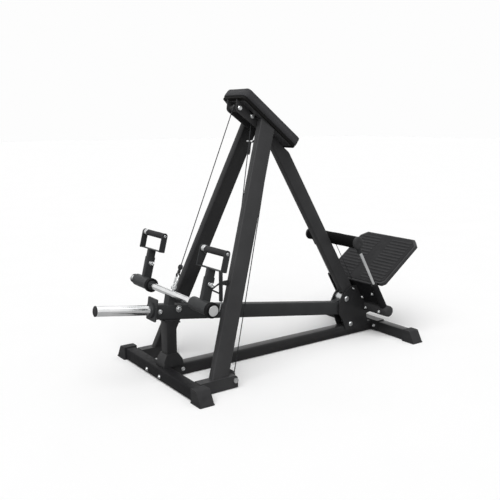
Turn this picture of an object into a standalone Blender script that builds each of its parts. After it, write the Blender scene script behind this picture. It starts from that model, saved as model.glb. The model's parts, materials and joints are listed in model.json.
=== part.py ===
# A free-standing T-bar row machine: a floor frame, a three-legged stand with a chest pad and
# cable pulleys on top, a hinged lever with a plate horn and two sliding D handles, and a
# sloping footplate with a height-adjustable foam roller in front of it.
# Metres, +Z up, +Y from the plate horn towards the footplate, +X to the side the pins point to.

import math

import bmesh
import bpy
from mathutils import Matrix, Vector
from mathutils.geometry import tessellate_polygon

# General values
FIT = 0.0003                # gap between pieces that touch
RUN = 0.0004                # radial clearance of a turning or sliding piece
ARC_STEPS = 3               # segments of a rounded corner
ROUND_SIDES = 24            # sides of an ordinary round piece
MANY_SIDES = 32             # of a large one
FEW_SIDES = 16              # of a small one
SHARP_ANGLE = math.radians(35)
PAST = 0.1                  # how far a cutting tool reaches past what it cuts
BITE = 0.004                # how far a welded piece sinks into its neighbour

# Floor frame
TUBE = 0.060                # square tube of the feet and the base beam
TUBE_WALL = 0.003
TUBE_ROUND = 0.006
FEET_APART = 1.484          # front face of the front foot to front face of the rear foot
FRONT_SPAN = 0.352          # half length of the front foot between its rubber caps
REAR_SPAN = 0.290
CAP_SOLE = 0.004            # rubber under the tubes
CAP_LENGTH = 0.090
CAP_TOP_LENGTH = 0.051
CAP_GRIP = 0.045            # how far a cap reaches over its tube
CAP_FLARE = 0.007           # rubber beside the tube
CAP_ROOF = 0.005            # rubber above the tube
CAP_TOE = 0.004             # its two rounded edges
CAP_BROW = 0.010
SADDLE_HALF = 0.083
SADDLE_PLATE = 0.006
STUB_X = 0.302
STUB_WIDTH = 0.052
STUB_END = 0.275
STUB_ROUND = 0.018

# Stop post below the lever
POST_HALF = 0.031
POST_FRONT = 0.049
POST_REAR = 0.106
BOOT_HALF = 0.0445
BOOT_FRONT = 0.023
BOOT_REAR = 0.135
BOOT_SHOULDER = 0.095
BOOT_TAPER = 0.004          # each side drawn in from the foot to the shoulder
BOOT_TOP = 0.128
BOOT_LIP = 0.004
POST_PLATE = 0.006
REST_PAD = 0.008
GUSSET_DROP = 0.042
GUSSET_REACH = 0.029
GUSSET_HALF = 0.004
REST_MARGIN = 0.004         # rubber rest inside the plate's edge

# Front legs, their axis given at two heights
LEG_LOW = Vector((0.2952, 0.1837, 0.060))
LEG_HIGH = Vector((0.0720, 0.6283, 1.260))
LEG_WIDTH = 0.0394
LEG_DEPTH = 0.092
LEG_ROUND = 0.007

# Rear leg, its axis behind the lever's pivot and below the pad
REAR_LEG_BEHIND = 0.0525
REAR_LEG_Z = 0.240
REAR_LEG_HIGH = Vector((0, 0.7248, 1.200))
REAR_LEG_WIDTH = 0.042
REAR_LEG_DEPTH = 0.080
REAR_LEG_FOOT = 0.270

# Chest pad, on a slope that falls towards the footplate
PAD_SLOPE = math.radians(37.6)
PAD_Y = 0.4664              # lower front edge
PAD_Z = 1.3944
PAD_LENGTH = 0.426
PAD_HALF = 0.103
PAD_CORNER = 0.020
PAD_BOARD = 0.012
PAD_FOAM = 0.048
PAD_TUCK = 0.004            # cushion drawn in at the board
PAD_SHOULDER = 0.012        # radius of its upper edge
PAD_CROWN = 0.003
PAD_RIDGE = 0.020           # half width of the flat along its middle
PAD_CORNER_LEAST = 0.004
PAD_BOARD_INSET = 0.004
MOUNT_PLATE = 0.006
MOUNT_HALF = 0.090
MOUNT_START = 0.024
MOUNT_END = 0.397
MOUNT_CORNER = 0.010
SLOT_HALF = 0.055           # slot over the pulleys, their bolts and the cable between them
SLOT_AFTER_FRONT = 0.004    # its start, down the slope from the front pulley's axis
SLOT_AFTER_REAR = 0.026

# Head with two cable pulleys
HEAD_PLATE = 0.006
HEAD_HALF = 0.038           # inner face of each plate from the middle
HEAD_END = 0.022            # radius of the plates about the front pulley
HEAD_START = 0.006          # plates begin this far behind the pad's edge
HEAD_BACK = 0.227
HEAD_DEPTH = 0.045          # at their rear end, below the pad
HEAD_ARC_START = math.radians(185)
HEAD_ARC_SHORT = math.radians(8)
HEAD_ARC_STEPS = 6
PULLEY_X = 0.015
PULLEY_FRONT = Vector((PULLEY_X, 0.484, 1.342))
PULLEY_REAR = Vector((PULLEY_X, 0.561, 1.302))
HEAD_GROOVE = 0.016
HEAD_RIM = 0.0205
PULLEY_HALF = 0.010
HUB_RADIUS = 0.013
AXLE_RADIUS = 0.008
BOLT_HEAD = 0.013
BOLT_HEAD_HEIGHT = 0.008

# Foot pulley beside the near stub
FOOT_PULLEY_X = 0.263
FOOT_PULLEY_Y = 0.260
FOOT_PULLEY_Z = 0.041
FOOT_GROOVE = 0.030
FOOT_RIM = 0.036
WASHER_RADIUS = 0.021
WASHER_THICK = 0.005
WASHER_GAP = 0.002          # from the pulley's rim to the washer's hub

# Steel cable
CABLE_RADIUS = 0.0025
CABLE_SEAT = 0.0012         # room below the cable where it slants across the foot pulley
HEAD_WRAP = 7               # straight pieces of the cable round a pulley
FOOT_WRAP = 18
EYE_RADIUS = 0.013          # eye on the cross tube
EYE_WIRE = 0.0035
LINK_HALF = 0.022           # snap link
LINK_RADIUS = 0.0115
LINK_WIRE = 0.0035
LOOP_RADIUS = 0.008         # loop and ferrule on the cable's end
LOOP_WIRE = 0.003
FERRULE_LENGTH = 0.045
FERRULE_RADIUS = 0.0065
ANCHOR_X = 0.052
ANCHOR_Y = 0.678
ANCHOR_Z = 1.200
ANCHOR_STUD = 0.006
ANCHOR_SOCKET = 0.007
ANCHOR_LENGTH = 0.040
ANCHOR_BACK = 0.008         # socket beyond the stud's axis

# Lever and its pivot
PIVOT_AHEAD = 0.228         # before the rear foot
PIVOT_Z = 0.235
LEVER_TILT = math.radians(8.2)
LEVER_DROP = 0.062          # lever centre line below the pivot
LEVER_WIDTH = 0.050
LEVER_DEPTH = 0.076
LEVER_NOSE = 0.010          # end of the lever's centre line before the front foot's face
LEVER_TAIL = 0.030
WEB_SIDE = 0.004            # welded webs inside the lever's width
HUB_WEB_AHEAD = 0.075
HUB_WEB_DROP = 0.008
CRADLE_HALF = 0.020         # block that carries the cross tube, its foot and its top
CRADLE_TOP_HALF = 0.016
CRADLE_DROP = 0.006
CRADLE_SIDE = 0.002
PIN_RADIUS = 0.0125
BUSH_RADIUS = 0.030
BUSH_PLAY = 0.0015
PIN_HEAD = 0.017
PIN_HEAD_HEIGHT = 0.009
PIVOT_PLATE = 0.0075
CLAMP_BEHIND = 0.038        # clamp bolt behind the pivot
CLAMP_RADIUS = 0.008
CLAMP_GAP = 0.0015          # bolt above the base beam
CLAMP_HEAD = 0.015
CLAMP_HEAD_HEIGHT = 0.009
CLAMP_LUG = 0.034
CHEEK_TOE = Vector((0, -0.022, -0.134))     # corners of the pivot plates from the pivot
CHEEK_LOW = Vector((0, -0.057, -0.075))
CHEEK_FRONT = Vector((0, -0.057, -0.020))
CHEEK_BROW = Vector((0, -0.030, 0.028))
CHEEK_CROWN = Vector((0, 0.033, 0.066))
CHEEK_PEAK = Vector((0, 0.066, 0.074))
CHEEK_NECK = -0.034         # where they meet the carrier plate, from the guides' tops
CHEEK_STEP = 0.022          # behind the guide axes at the carrier plate's lower edge
CHEEK_HEEL = 0.044          # rear edge before the rear foot
CHEEK_HEEL_CUT = 0.016
CHEEK_HEEL_Z = 0.040
CHEEK_BEND = 0.020          # radius of most corners
TUBE_LUG = 0.047            # plate round the lower cross tube
TUBE_LUG_REAR = 0.030
TUBE_LUG_RISE = 0.010

# Plate horn
STOP_HALF = 0.047
STOP_BELOW = 0.045
STOP_ABOVE = 0.068
STOP_THICK = 0.008
STOP_CORNER = 0.006
HORN_RADIUS = 0.025
HORN_WALL = 0.004
HORN_LENGTH = 0.292
HORN_RISE = 0.006           # horn axis above the lever's centre line
COLLAR_RADIUS = 0.034
COLLAR_LENGTH = 0.010
HORN_CAP_THICK = 0.005
HORN_CAP_BEVEL = 0.002
HORN_CAP_LIP = 0.001
HORN_CAP_PLUG = 0.015

# Cross tube and handles
CROSS_BACK = 0.0875         # behind the lever's end
CROSS_ABOVE = 0.0927        # above the lever's centre line
CROSS_RADIUS = 0.0175
CROSS_HALF = 0.400
DISC_RADIUS = 0.025
DISC_THICK = 0.006
HANDLE_X = 0.297
SLEEVE_RADIUS = 0.0315
SLEEVE_BEFORE = 0.070
SLEEVE_AFTER = 0.082
RING_RADIUS = 0.036
RING_LENGTH = 0.0205
ARM_TILT = math.radians(14)
ARM_WIDTH = 0.028
ARM_DEPTH = 0.048
ARM_WALL = 0.0025
ARM_CORNER = 0.004
STEM_CORNER = 0.003
ARM_BACK = 0.014            # arm centre behind the cross tube's axis, at the axis height
ARM_TOP = 0.135             # upper end of the arm, along its tilt from the axis height
STEM_BASE = 0.050           # lower end of the sliding stem
D_BASE = 0.174              # underside of the D frame
D_YAW = math.radians(6)
D_WIDTH = 0.190
D_HEIGHT = 0.102
D_DEPTH = 0.034
D_PLATE = 0.006
D_FLOOR = 0.005
D_CORNER = 0.004
GRIP_RADIUS = 0.016
GRIP_PLAY = 0.001
GRIP_PIN = 0.006
GRIP_PIN_OUT = 0.004        # pin ends outside the frame
GRIP_WAIST = 0.003          # step and bevel at the grip's ends
GRIP_COLLAR = 0.014
HANDLE_PIN_UP = 0.103
KNOB_RADIUS = 0.009
KNOB_LENGTH = 0.022
KNOB_WAIST = 0.72           # its outer part, as a share of its radius
NOSE_RADIUS = 0.0045
PIN_STROKE = 0.008
PULL_RING = 0.009
PULL_WIRE = 0.002

# Footplate and the height-adjustable roller
GUIDE_BEHIND = 0.075        # top of the guide sleeves behind the pivot
GUIDE_Z = 0.342
GUIDE_LEAN = math.radians(30.6)
GUIDE_X = 0.187
GUIDE_RADIUS = 0.020
BAR_RADIUS = 0.010
BAR_TOP = 0.234
BAR_BOTTOM = -0.055
ROLLER_UP = 0.3065
ROLLER_BACK = 0.0005
ROLLER_RADIUS = 0.0345
ROLLER_HALF = 0.213
ROLLER_ROUND = 0.006
ROLLER_TUBE = 0.0125
ROLLER_TUBE_SHORT = 0.003   # tube inside the foam's ends
SOCKET_RADIUS = 0.014
CENTRE_ROD = 0.002
ROD_PLAY = 0.0015
LOW_TUBE_DOWN = 0.202
LOW_TUBE_RADIUS = 0.033
LOW_TUBE_HALF = 0.222
LOW_TUBE_WALL = 0.004
LOW_TUBE_CAP = 0.014        # plugs in its ends, the far one with a drain hole
LOW_TUBE_ROUND = 0.008
DRAIN_RADIUS = 0.0025
CARRIER_THICK = 0.008
CARRIER_AHEAD = 0.012       # its front face before the guide axes
CARRIER_BOTTOM = -0.150
CARRIER_TOP = 0.002
STEP_SLOPE = math.radians(36.53)
STEP_BEHIND = 0.0042        # lower edge behind the guide axes
STEP_BELOW = 0.0088         # and below the guide sleeves' tops
STEP_LENGTH = 0.396
STEP_HALF = 0.2343
STEP_CORNER = 0.038
STEP_LOW_CORNER = 0.020
STEP_BEND = 0.010
STEP_THICK = 0.022
STEP_SKIN = 0.004
SLEEVE_ROOM = 0.004         # between the footplate's notches and the guide sleeves
TREAD_MARGIN = 0.010
TREAD_THICK = 0.003
TREAD_BEND = 0.008
RIB_PITCH = 0.0245
RIB_START = 0.004           # first rib above the notches' edge of the mat
RIB_WIDTH = 0.012
RIB_HEIGHT = 0.002
RIB_INNER = 0.043
RIB_OUTER = 0.205
ARM_BLOCK_HALF = 0.024      # bracket under the footplate
ARM_BLOCK_WALL = 0.004
ARM_BLOCK_REACH = 0.280     # up the footplate from its lower edge
ARM_BLOCK_DROP = 0.110      # its foot on the carrier plate, below the guide tops

# Latch in front of the near leg
LATCH_UP = 0.500            # height of its pin
LATCH_PIN_AHEAD = 0.018     # pin before the leg's front face
LATCH_PIN_RADIUS = 0.005
LATCH_EAR = 0.011
LATCH_THICK = 0.010
LATCH_BAR_AHEAD = 0.0265
LATCH_BAR_DEPTH = 0.017
LATCH_BELOW = 0.088
LATCH_ABOVE = 0.062
LATCH_LOOP = 0.043
LATCH_LOOP_SPREAD = 0.027
LATCH_LOOP_DROP = 0.0216    # its tip below the pin
LATCH_WIRE = 0.004
LATCH_LUG = 0.006           # lug on the leg beside it
LATCH_PIN_OUT = 0.004
LATCH_WEB_HALF = 0.008
LATCH_WEB_INSET = 0.0005

FINISHES = {
    "frame": ((0.022, 0.022, 0.023), 0.42, 0.0),
    "lever": ((0.014, 0.014, 0.015), 0.40, 0.0),
    "rubber": ((0.020, 0.020, 0.021), 0.75, 0.0),
    "foam": ((0.012, 0.012, 0.013), 0.80, 0.0),
    "leather": ((0.030, 0.030, 0.032), 0.60, 0.0),
    "board": ((0.010, 0.010, 0.010), 0.70, 0.0),
    "chrome": ((0.72, 0.73, 0.74), 0.16, 1.0),
    "steel": ((0.62, 0.62, 0.62), 0.30, 1.0),
    "nylon": ((0.030, 0.030, 0.032), 0.50, 0.0),
    "tread": ((0.024, 0.024, 0.025), 0.70, 0.0),
}

TUBE_TOP = CAP_SOLE + TUBE
TUBE_MID = CAP_SOLE + TUBE / 2
CABLE_ON_HEAD = HEAD_GROOVE + CABLE_RADIUS + FIT
CABLE_ON_FOOT = FOOT_GROOVE + CABLE_RADIUS + CABLE_SEAT
X_AXIS = Vector((1, 0, 0))
Y_AXIS = Vector((0, 1, 0))
Z_AXIS = Vector((0, 0, 1))
SIDES = (("near", 1), ("far", -1))

# Directions of the sloping assemblies
PAD_DOWN = Vector((0, math.cos(PAD_SLOPE), -math.sin(PAD_SLOPE)))
PAD_OUT = Vector((0, math.sin(PAD_SLOPE), math.cos(PAD_SLOPE)))
LEVER_AHEAD = Vector((0, -math.cos(LEVER_TILT), math.sin(LEVER_TILT)))
LEVER_UP = Vector((0, math.sin(LEVER_TILT), math.cos(LEVER_TILT)))
ARM_UP = Vector((0, math.sin(ARM_TILT), math.cos(ARM_TILT)))
GUIDE_UP = Vector((0, -math.sin(GUIDE_LEAN), math.cos(GUIDE_LEAN)))
GUIDE_BACK = Vector((0, math.cos(GUIDE_LEAN), math.sin(GUIDE_LEAN)))
STEP_UP = Vector((0, math.cos(STEP_SLOPE), math.sin(STEP_SLOPE)))
STEP_OUT = Vector((0, -math.sin(STEP_SLOPE), math.cos(STEP_SLOPE)))

# Places that follow from the sizes above
PIVOT = Vector((0, FEET_APART - PIVOT_AHEAD, PIVOT_Z))
NOSE_RUN = PIVOT.y + LEVER_NOSE - LEVER_DROP * math.sin(LEVER_TILT)
LEVER_LENGTH = NOSE_RUN / math.cos(LEVER_TILT)
CROSS_AHEAD = LEVER_LENGTH - CROSS_BACK
CROSS_UP = CROSS_ABOVE - LEVER_DROP
CROSS = PIVOT + LEVER_AHEAD * CROSS_AHEAD + LEVER_UP * CROSS_UP
GUIDE_TOP = Vector((0, PIVOT.y + GUIDE_BEHIND, GUIDE_Z))
REAR_LEG_LOW = Vector((0, PIVOT.y + REAR_LEG_BEHIND, REAR_LEG_Z))
STEP_EDGE = GUIDE_TOP - GUIDE_UP * STEP_BELOW + GUIDE_BACK * STEP_BEHIND
STEP_NOTCH = GUIDE_RADIUS + SLEEVE_ROOM - STEP_BEHIND
STEP_NOTCH_X = GUIDE_X - GUIDE_RADIUS - SLEEVE_ROOM


def pad_point(along, out, x=0.0):
    """Point at a distance down the pad's slope and out of its underside."""
    return Vector((x, PAD_Y, PAD_Z)) + PAD_DOWN * along + PAD_OUT * out


def lever_point(ahead, up, x=0.0):
    """Point in the lever's own directions, measured from its pivot."""
    return PIVOT + X_AXIS * x + LEVER_AHEAD * ahead + LEVER_UP * up


def guide_point(up, back, x=0.0):
    """Point along the guide sleeves and behind the plane of their axes."""
    return GUIDE_TOP + X_AXIS * x + GUIDE_UP * up + GUIDE_BACK * back


def step_point(up, out, x=0.0):
    """Point up the footplate from its lower edge, and out of its face."""
    return STEP_EDGE + X_AXIS * x + STEP_UP * up + STEP_OUT * out


def arm_point(side, up, back=0.0, x=0.0):
    """Point up a handle arm, measured from where its axis passes the cross tube's height."""
    base = CROSS + Vector((side * HANDLE_X + x, ARM_BACK, 0))
    return base + ARM_UP * up + X_AXIS.cross(ARM_UP) * -back


def flat(point):
    """Y and Z of a point, for an outline in the side view."""
    return (point.y, point.z)


# Blender helpers

BASES = {}


def clear_scene():
    for item in list(bpy.data.objects):
        bpy.data.objects.remove(item)


def finish_material(name, finish):
    colour, roughness, metallic = FINISHES[finish]
    material = bpy.data.materials.new(name)
    material.use_nodes = True
    shader = material.node_tree.nodes["Principled BSDF"]
    shader.inputs["Base Color"].default_value = (*colour, 1.0)
    shader.inputs["Roughness"].default_value = roughness
    shader.inputs["Metallic"].default_value = metallic
    return material


def add_base(name, at, parent=None):
    """An empty that carries pieces; a joint's empty stands on the joint's axis."""
    base = bpy.data.objects.new(name, None)
    base.empty_display_size = 0.05
    bpy.context.collection.objects.link(base)
    BASES[name] = Vector(at)
    if parent:
        base.parent = bpy.data.objects[parent]
        base.location = BASES[name] - BASES[parent]
    return base


def add_piece(name, bm, finish, base="machine"):
    """Turn a bmesh in machine coordinates into a named object carried by a base."""
    bmesh.ops.translate(bm, verts=bm.verts, vec=-BASES[base])
    bmesh.ops.recalc_face_normals(bm, faces=bm.faces)
    mesh = bpy.data.meshes.new(name)
    bm.to_mesh(mesh)
    bm.free()
    mesh.shade_smooth()
    mesh.set_sharp_from_angle(angle=SHARP_ANGLE)
    mesh.materials.append(finish_material(name, finish))
    piece = bpy.data.objects.new(name, mesh)
    bpy.context.collection.objects.link(piece)
    piece.parent = bpy.data.objects[base]
    return piece


def combine(first, second, operation):
    """Boolean of two bmeshes; both are used up and a new one comes back."""
    pair = []
    for bm in (first, second):
        bmesh.ops.recalc_face_normals(bm, faces=bm.faces)
        mesh = bpy.data.meshes.new("operand")
        bm.to_mesh(mesh)
        bm.free()
        operand = bpy.data.objects.new("operand", mesh)
        bpy.context.collection.objects.link(operand)
        pair.append(operand)
    modifier = pair[0].modifiers.new("combine", "BOOLEAN")
    modifier.operation = operation
    modifier.solver = "EXACT"
    modifier.object = pair[1]
    graph = bpy.context.evaluated_depsgraph_get()
    result = bmesh.new()
    result.from_mesh(pair[0].evaluated_get(graph).to_mesh())
    for operand in pair:
        mesh = operand.data
        bpy.data.objects.remove(operand)
        bpy.data.meshes.remove(mesh)
    return result


def fuse(first, *others):
    for other in others:
        first = combine(first, other, "UNION")
    return first


def cut(first, *others):
    for other in others:
        first = combine(first, other, "DIFFERENCE")
    return first


# Shape helpers, all in machine coordinates

def frame_at(origin, x_dir, y_dir):
    """Matrix of a local frame with the given origin, x direction and approximate y direction."""
    x = Vector(x_dir).normalized()
    z = x.cross(Vector(y_dir)).normalized()
    matrix = Matrix((x, z.cross(x), z)).transposed().to_4x4()
    matrix.translation = Vector(origin)
    return matrix


SIDE_VIEW = frame_at((0, 0, 0), Y_AXIS, Z_AXIS)


def fillet(corners, steps=ARC_STEPS):
    """Outline from (x, y, radius) corners, each rounded by an arc of its radius."""
    points = []
    for index, (x, y, radius) in enumerate(corners):
        here = Vector((x, y))
        before = (Vector(corners[index - 1][:2]) - here)
        after = (Vector(corners[(index + 1) % len(corners)][:2]) - here)
        half = before.angle(after) / 2
        reach = min(radius / math.tan(half), before.length / 2, after.length / 2)
        radius = reach * math.tan(half)
        if radius < 1e-5:
            points.append(here)
            continue
        before.normalize()
        after.normalize()
        centre = here + (before + after).normalized() * (radius / math.sin(half))
        start = here + before * reach - centre
        end = here + after * reach - centre
        first = math.atan2(start.y, start.x)
        turn = (math.atan2(end.y, end.x) - first + math.pi) % (2 * math.pi) - math.pi
        for step in range(steps + 1):
            angle = first + turn * step / steps
            points.append(centre + Vector((math.cos(angle), math.sin(angle))) * radius)
    return points


def rounded_box(half_x, half_y, radius, steps=ARC_STEPS):
    corners = [(-half_x, -half_y), (half_x, -half_y), (half_x, half_y), (-half_x, half_y)]
    return fillet([(x, y, radius) for x, y in corners], steps)


def circle(x, y, radius, sides=ROUND_SIDES):
    turn = 2 * math.pi / sides
    return [Vector((x + radius * math.cos(turn * k), y + radius * math.sin(turn * k)))
            for k in range(sides)]


def prism(outline, low, high, place=SIDE_VIEW, holes=()):
    """Solid with a flat outline, extruded along the local z, with round holes (x, y, radius)."""
    loops = [[Vector(p) for p in outline]] + [circle(*hole) for hole in holes]
    bm = bmesh.new()
    levels = []
    for height in (low, high):
        levels.append([[bm.verts.new(place @ Vector((p.x, p.y, height))) for p in loop]
                       for loop in loops])
    for lower, upper in zip(*levels):
        for k in range(len(lower)):
            n = (k + 1) % len(lower)
            bm.faces.new((lower[k], lower[n], upper[n], upper[k]))
    if not holes:
        for level in levels:
            bm.faces.new(level[0])
        return bm
    triangles = tessellate_polygon([[Vector((p.x, p.y, 0)) for p in loop] for loop in loops])
    for level in levels:
        verts = [vert for loop in level for vert in loop]
        for triangle in triangles:
            bm.faces.new([verts[k] for k in triangle])
    return bm


def block(low, high):
    """Box between two corners."""
    outline = [(low[0], low[1]), (high[0], low[1]), (high[0], high[1]), (low[0], high[1])]
    return prism(outline, low[2], high[2], frame_at((0, 0, 0), X_AXIS, Y_AXIS))


def turned(profile, place, sides=ROUND_SIDES, closed=False):
    """Profile of (radius, height) pairs turned about the local z."""
    bm = bmesh.new()
    rings = []
    for radius, height in profile:
        if radius < 1e-6:
            rings.append([bm.verts.new(place @ Vector((0, 0, height)))])
            continue
        rings.append([bm.verts.new(place @ Vector((p.x, p.y, height)))
                      for p in circle(0, 0, radius, sides)])
    pairs = list(zip(rings, rings[1:]))
    if closed:
        pairs.append((rings[-1], rings[0]))
    for one, two in pairs:
        for k in range(sides):
            n = (k + 1) % sides
            corners = [one[k % len(one)], one[n % len(one)], two[n % len(two)], two[k % len(two)]]
            unique = list(dict.fromkeys(corners))
            if len(unique) > 2:
                bm.faces.new(unique)
    return bm


def rod(start, end, radius, sides=ROUND_SIDES, bore=0.0):
    """Round bar or pipe between two points."""
    start = Vector(start)
    axis = Vector(end) - start
    side = axis.cross(X_AXIS if abs(axis.normalized().x) < 0.9 else Y_AXIS)
    place = frame_at(start, side, axis.cross(side))
    length = axis.length
    if bore:
        return turned([(bore, 0), (radius, 0), (radius, length), (bore, length)], place, sides, True)
    return turned([(0, 0), (radius, 0), (radius, length), (0, length)], place, sides)


def beam(start, end, depth_dir, width, depth, rounding, wall=None, foot=None, top=None):
    """Rectangular tube between two points, its ends cut by planes given as (point, normal)."""
    start, end = Vector(start), Vector(end)
    axis = (end - start).normalized()
    deep = Vector(depth_dir)
    deep = (deep - axis * axis.dot(deep)).normalized()
    wide = deep.cross(axis)
    foot = foot or (start, axis)
    top = top or (end, axis)
    outer = rounded_box(width / 2, depth / 2, rounding)
    loops = [outer]
    if wall:
        loops.append(rounded_box(width / 2 - wall, depth / 2 - wall, max(rounding - wall, 0)))
    bm = bmesh.new()
    ends = []
    for point, normal in (foot, top):
        normal = Vector(normal)
        level = []
        for loop in loops:
            ring = []
            for p in loop:
                line = start + wide * p.x + deep * p.y
                reach = (Vector(point) - line).dot(normal) / axis.dot(normal)
                ring.append(bm.verts.new(line + axis * reach))
            level.append(ring)
        ends.append(level)
    for lower, upper in zip(*ends):
        for k in range(len(lower)):
            n = (k + 1) % len(lower)
            bm.faces.new((lower[k], lower[n], upper[n], upper[k]))
    for level in ends:
        if not wall:
            bm.faces.new(level[0])
            continue
        rim, bore = level
        for k in range(len(rim)):
            n = (k + 1) % len(rim)
            bm.faces.new((rim[k], rim[n], bore[n], bore[k]))
    return bm


def loft(rings):
    """Solid through closed rings of equal point counts, with its first and last ring filled."""
    bm = bmesh.new()
    levels = [[bm.verts.new(p) for p in ring] for ring in rings]
    for lower, upper in zip(levels, levels[1:]):
        for k in range(len(lower)):
            n = (k + 1) % len(lower)
            bm.faces.new((lower[k], lower[n], upper[n], upper[k]))
    bm.faces.new(levels[0])
    bm.faces.new(levels[-1])
    return bm


def wire(name, points, radius, finish, base="machine", cyclic=False):
    """Round wire or cable along points, as a curve with a bevel."""
    curve = bpy.data.curves.new(name, "CURVE")
    curve.dimensions = "3D"
    curve.bevel_depth = radius
    curve.bevel_resolution = 2
    curve.use_fill_caps = True
    spline = curve.splines.new("POLY")
    spline.points.add(len(points) - 1)
    for target, point in zip(spline.points, points):
        target.co = (*(Vector(point) - BASES[base]), 1)
    spline.use_cyclic_u = cyclic
    spline.use_smooth = True
    curve.materials.append(finish_material(name, finish))
    piece = bpy.data.objects.new(name, curve)
    bpy.context.collection.objects.link(piece)
    piece.parent = bpy.data.objects[base]
    return piece


def racetrack(centre, long_dir, wide_dir, half_length, radius, steps=8):
    """Points of a link: two half circles joined by straight sides."""
    points = []
    for sign in (1, -1):
        for step in range(steps + 1):
            angle = math.pi * step / steps
            wide = radius * math.cos(angle) * sign
            long = (half_length + radius * math.sin(angle)) * sign
            points.append(Vector(centre) + Vector(wide_dir) * wide + Vector(long_dir) * long)
    return points


# Floor frame

def make_foot(name, front_y, span):
    centre = front_y + TUBE / 2
    half = span + CAP_GRIP
    bm = beam((-half, centre, TUBE_MID), (half, centre, TUBE_MID), Z_AXIS,
              TUBE, TUBE, TUBE_ROUND, TUBE_WALL)
    add_piece(name, bm, "frame")


def make_caps(prefix, front_y, span):
    """Rubber boots over both ends of a foot, with a sloping outer face."""
    roof = TUBE_TOP + CAP_ROOF
    outline = fillet([(0, 0, 0), (CAP_LENGTH, 0, CAP_TOE), (CAP_TOP_LENGTH, roof, CAP_BROW),
                      (0, roof, 0)])
    half = TUBE / 2 + CAP_FLARE
    middle = front_y + TUBE / 2
    for side, sign in SIDES:
        place = frame_at((sign * span, middle, 0), X_AXIS * sign, Z_AXIS)
        cap = prism(outline, -half, half, place)
        reach = TUBE / 2 + FIT
        inner = sign * (span + CAP_GRIP + FIT)
        outer = sign * (span - CAP_LENGTH)
        pocket = block((min(inner, outer), middle - reach, CAP_SOLE - FIT),
                       (max(inner, outer), middle + reach, TUBE_TOP + FIT))
        add_piece(f"{prefix}_cap_{side}", cut(cap, pocket), "rubber")


def make_base_beam():
    """Middle beam with the saddle that laps over the rear foot."""
    start = (0, TUBE + FIT, TUBE_MID)
    end = (0, FEET_APART - SADDLE_PLATE / 2, TUBE_MID)
    bm = beam(start, end, Z_AXIS, TUBE, TUBE, TUBE_ROUND, TUBE_WALL)
    low = TUBE_TOP + FIT
    high = low + SADDLE_PLATE
    front = FEET_APART - SADDLE_PLATE
    back = FEET_APART + TUBE - TUBE_ROUND
    outline = [(front, CAP_SOLE + TUBE_ROUND), (FEET_APART - FIT, CAP_SOLE + TUBE_ROUND),
               (FEET_APART - FIT, low), (back, low), (back, high), (front, high)]
    saddle = prism(outline, -SADDLE_HALF, SADDLE_HALF)
    add_piece("base_beam", fuse(bm, saddle), "frame")


def make_stubs():
    """Short tubes behind the front foot that carry the legs."""
    for side, sign in SIDES:
        outline = fillet([(TUBE + FIT, CAP_SOLE, 0), (STUB_END, CAP_SOLE, 0),
                          (STUB_END, TUBE_TOP, STUB_ROUND), (TUBE + FIT, TUBE_TOP, 0)])
        x = sign * STUB_X
        stub = prism(outline, x - STUB_WIDTH / 2, x + STUB_WIDTH / 2)
        hollow = block((x - STUB_WIDTH / 2 + TUBE_WALL, 0, CAP_SOLE + TUBE_WALL),
                       (x + STUB_WIDTH / 2 - TUBE_WALL, STUB_END - STUB_ROUND,
                        TUBE_TOP - TUBE_WALL))
        stub = cut(stub, hollow)
        if sign > 0:
            bore = rod((x - STUB_WIDTH, FOOT_PULLEY_Y, FOOT_PULLEY_Z),
                       (x + STUB_WIDTH, FOOT_PULLEY_Y, FOOT_PULLEY_Z), AXLE_RADIUS + RUN)
            stub = cut(stub, bore)
        add_piece(f"stub_{side}", stub, "frame")


def lever_underside(drop=0.0):
    """Plane below the lever at rest."""
    return (lever_point(0, -LEVER_DROP - LEVER_DEPTH / 2 - FIT - drop), LEVER_UP)


def make_post():
    """Stop post on a flared boot, with a gusseted plate under the rubber rest."""
    low = TUBE_TOP + FIT
    mid_y = (POST_FRONT + POST_REAR) / 2
    plate_top = REST_PAD + FIT
    bm = beam((0, mid_y, low), (0, mid_y, PIVOT.z), Y_AXIS, POST_HALF * 2,
              POST_REAR - POST_FRONT, BITE, None, None,
              lever_underside(plate_top + POST_PLATE / 2))
    levels = ((low, BOOT_HALF, BOOT_FRONT, BOOT_REAR),
              (BOOT_SHOULDER, BOOT_HALF - BOOT_TAPER, BOOT_FRONT + BOOT_TAPER,
               BOOT_REAR - BOOT_TAPER),
              (BOOT_TOP, POST_HALF + BOOT_LIP, POST_FRONT - BOOT_LIP, POST_REAR + BOOT_LIP))
    rings = []
    for z, half, front, back in levels:
        rings.append([(-half, front, z), (half, front, z), (half, back, z), (-half, back, z)])
    ahead = [-(y - PIVOT.y) / math.cos(LEVER_TILT) - LEVER_DROP * math.tan(LEVER_TILT)
             for y in (POST_FRONT, POST_REAR + GUSSET_REACH)]
    under = -LEVER_DROP - LEVER_DEPTH / 2 - plate_top - FIT
    place = frame_at(PIVOT, LEVER_AHEAD, LEVER_UP)
    plate = prism([(ahead[1], under - POST_PLATE), (ahead[0], under - POST_PLATE),
                   (ahead[0], under), (ahead[1], under)], -POST_HALF, POST_HALF, place)
    top = flat(lever_point(ahead[1] + BITE / 2, under - POST_PLATE / 2))
    gusset = prism([(POST_REAR - BITE, top[1] - GUSSET_DROP), top,
                    (POST_REAR - BITE, top[1] + BITE / 2)], -GUSSET_HALF, GUSSET_HALF)
    add_piece("post", fuse(bm, loft([[Vector(p) for p in r] for r in rings]), plate, gusset),
              "frame")
    start, end = ahead[1] + REST_MARGIN, ahead[0] - REST_MARGIN
    rest = prism([(start, under + FIT), (end, under + FIT), (end, under + plate_top),
                  (start, under + plate_top)],
                 -POST_HALF + REST_MARGIN, POST_HALF - REST_MARGIN, place)
    add_piece("rest_pad", rest, "rubber")


# Three-legged stand

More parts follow.
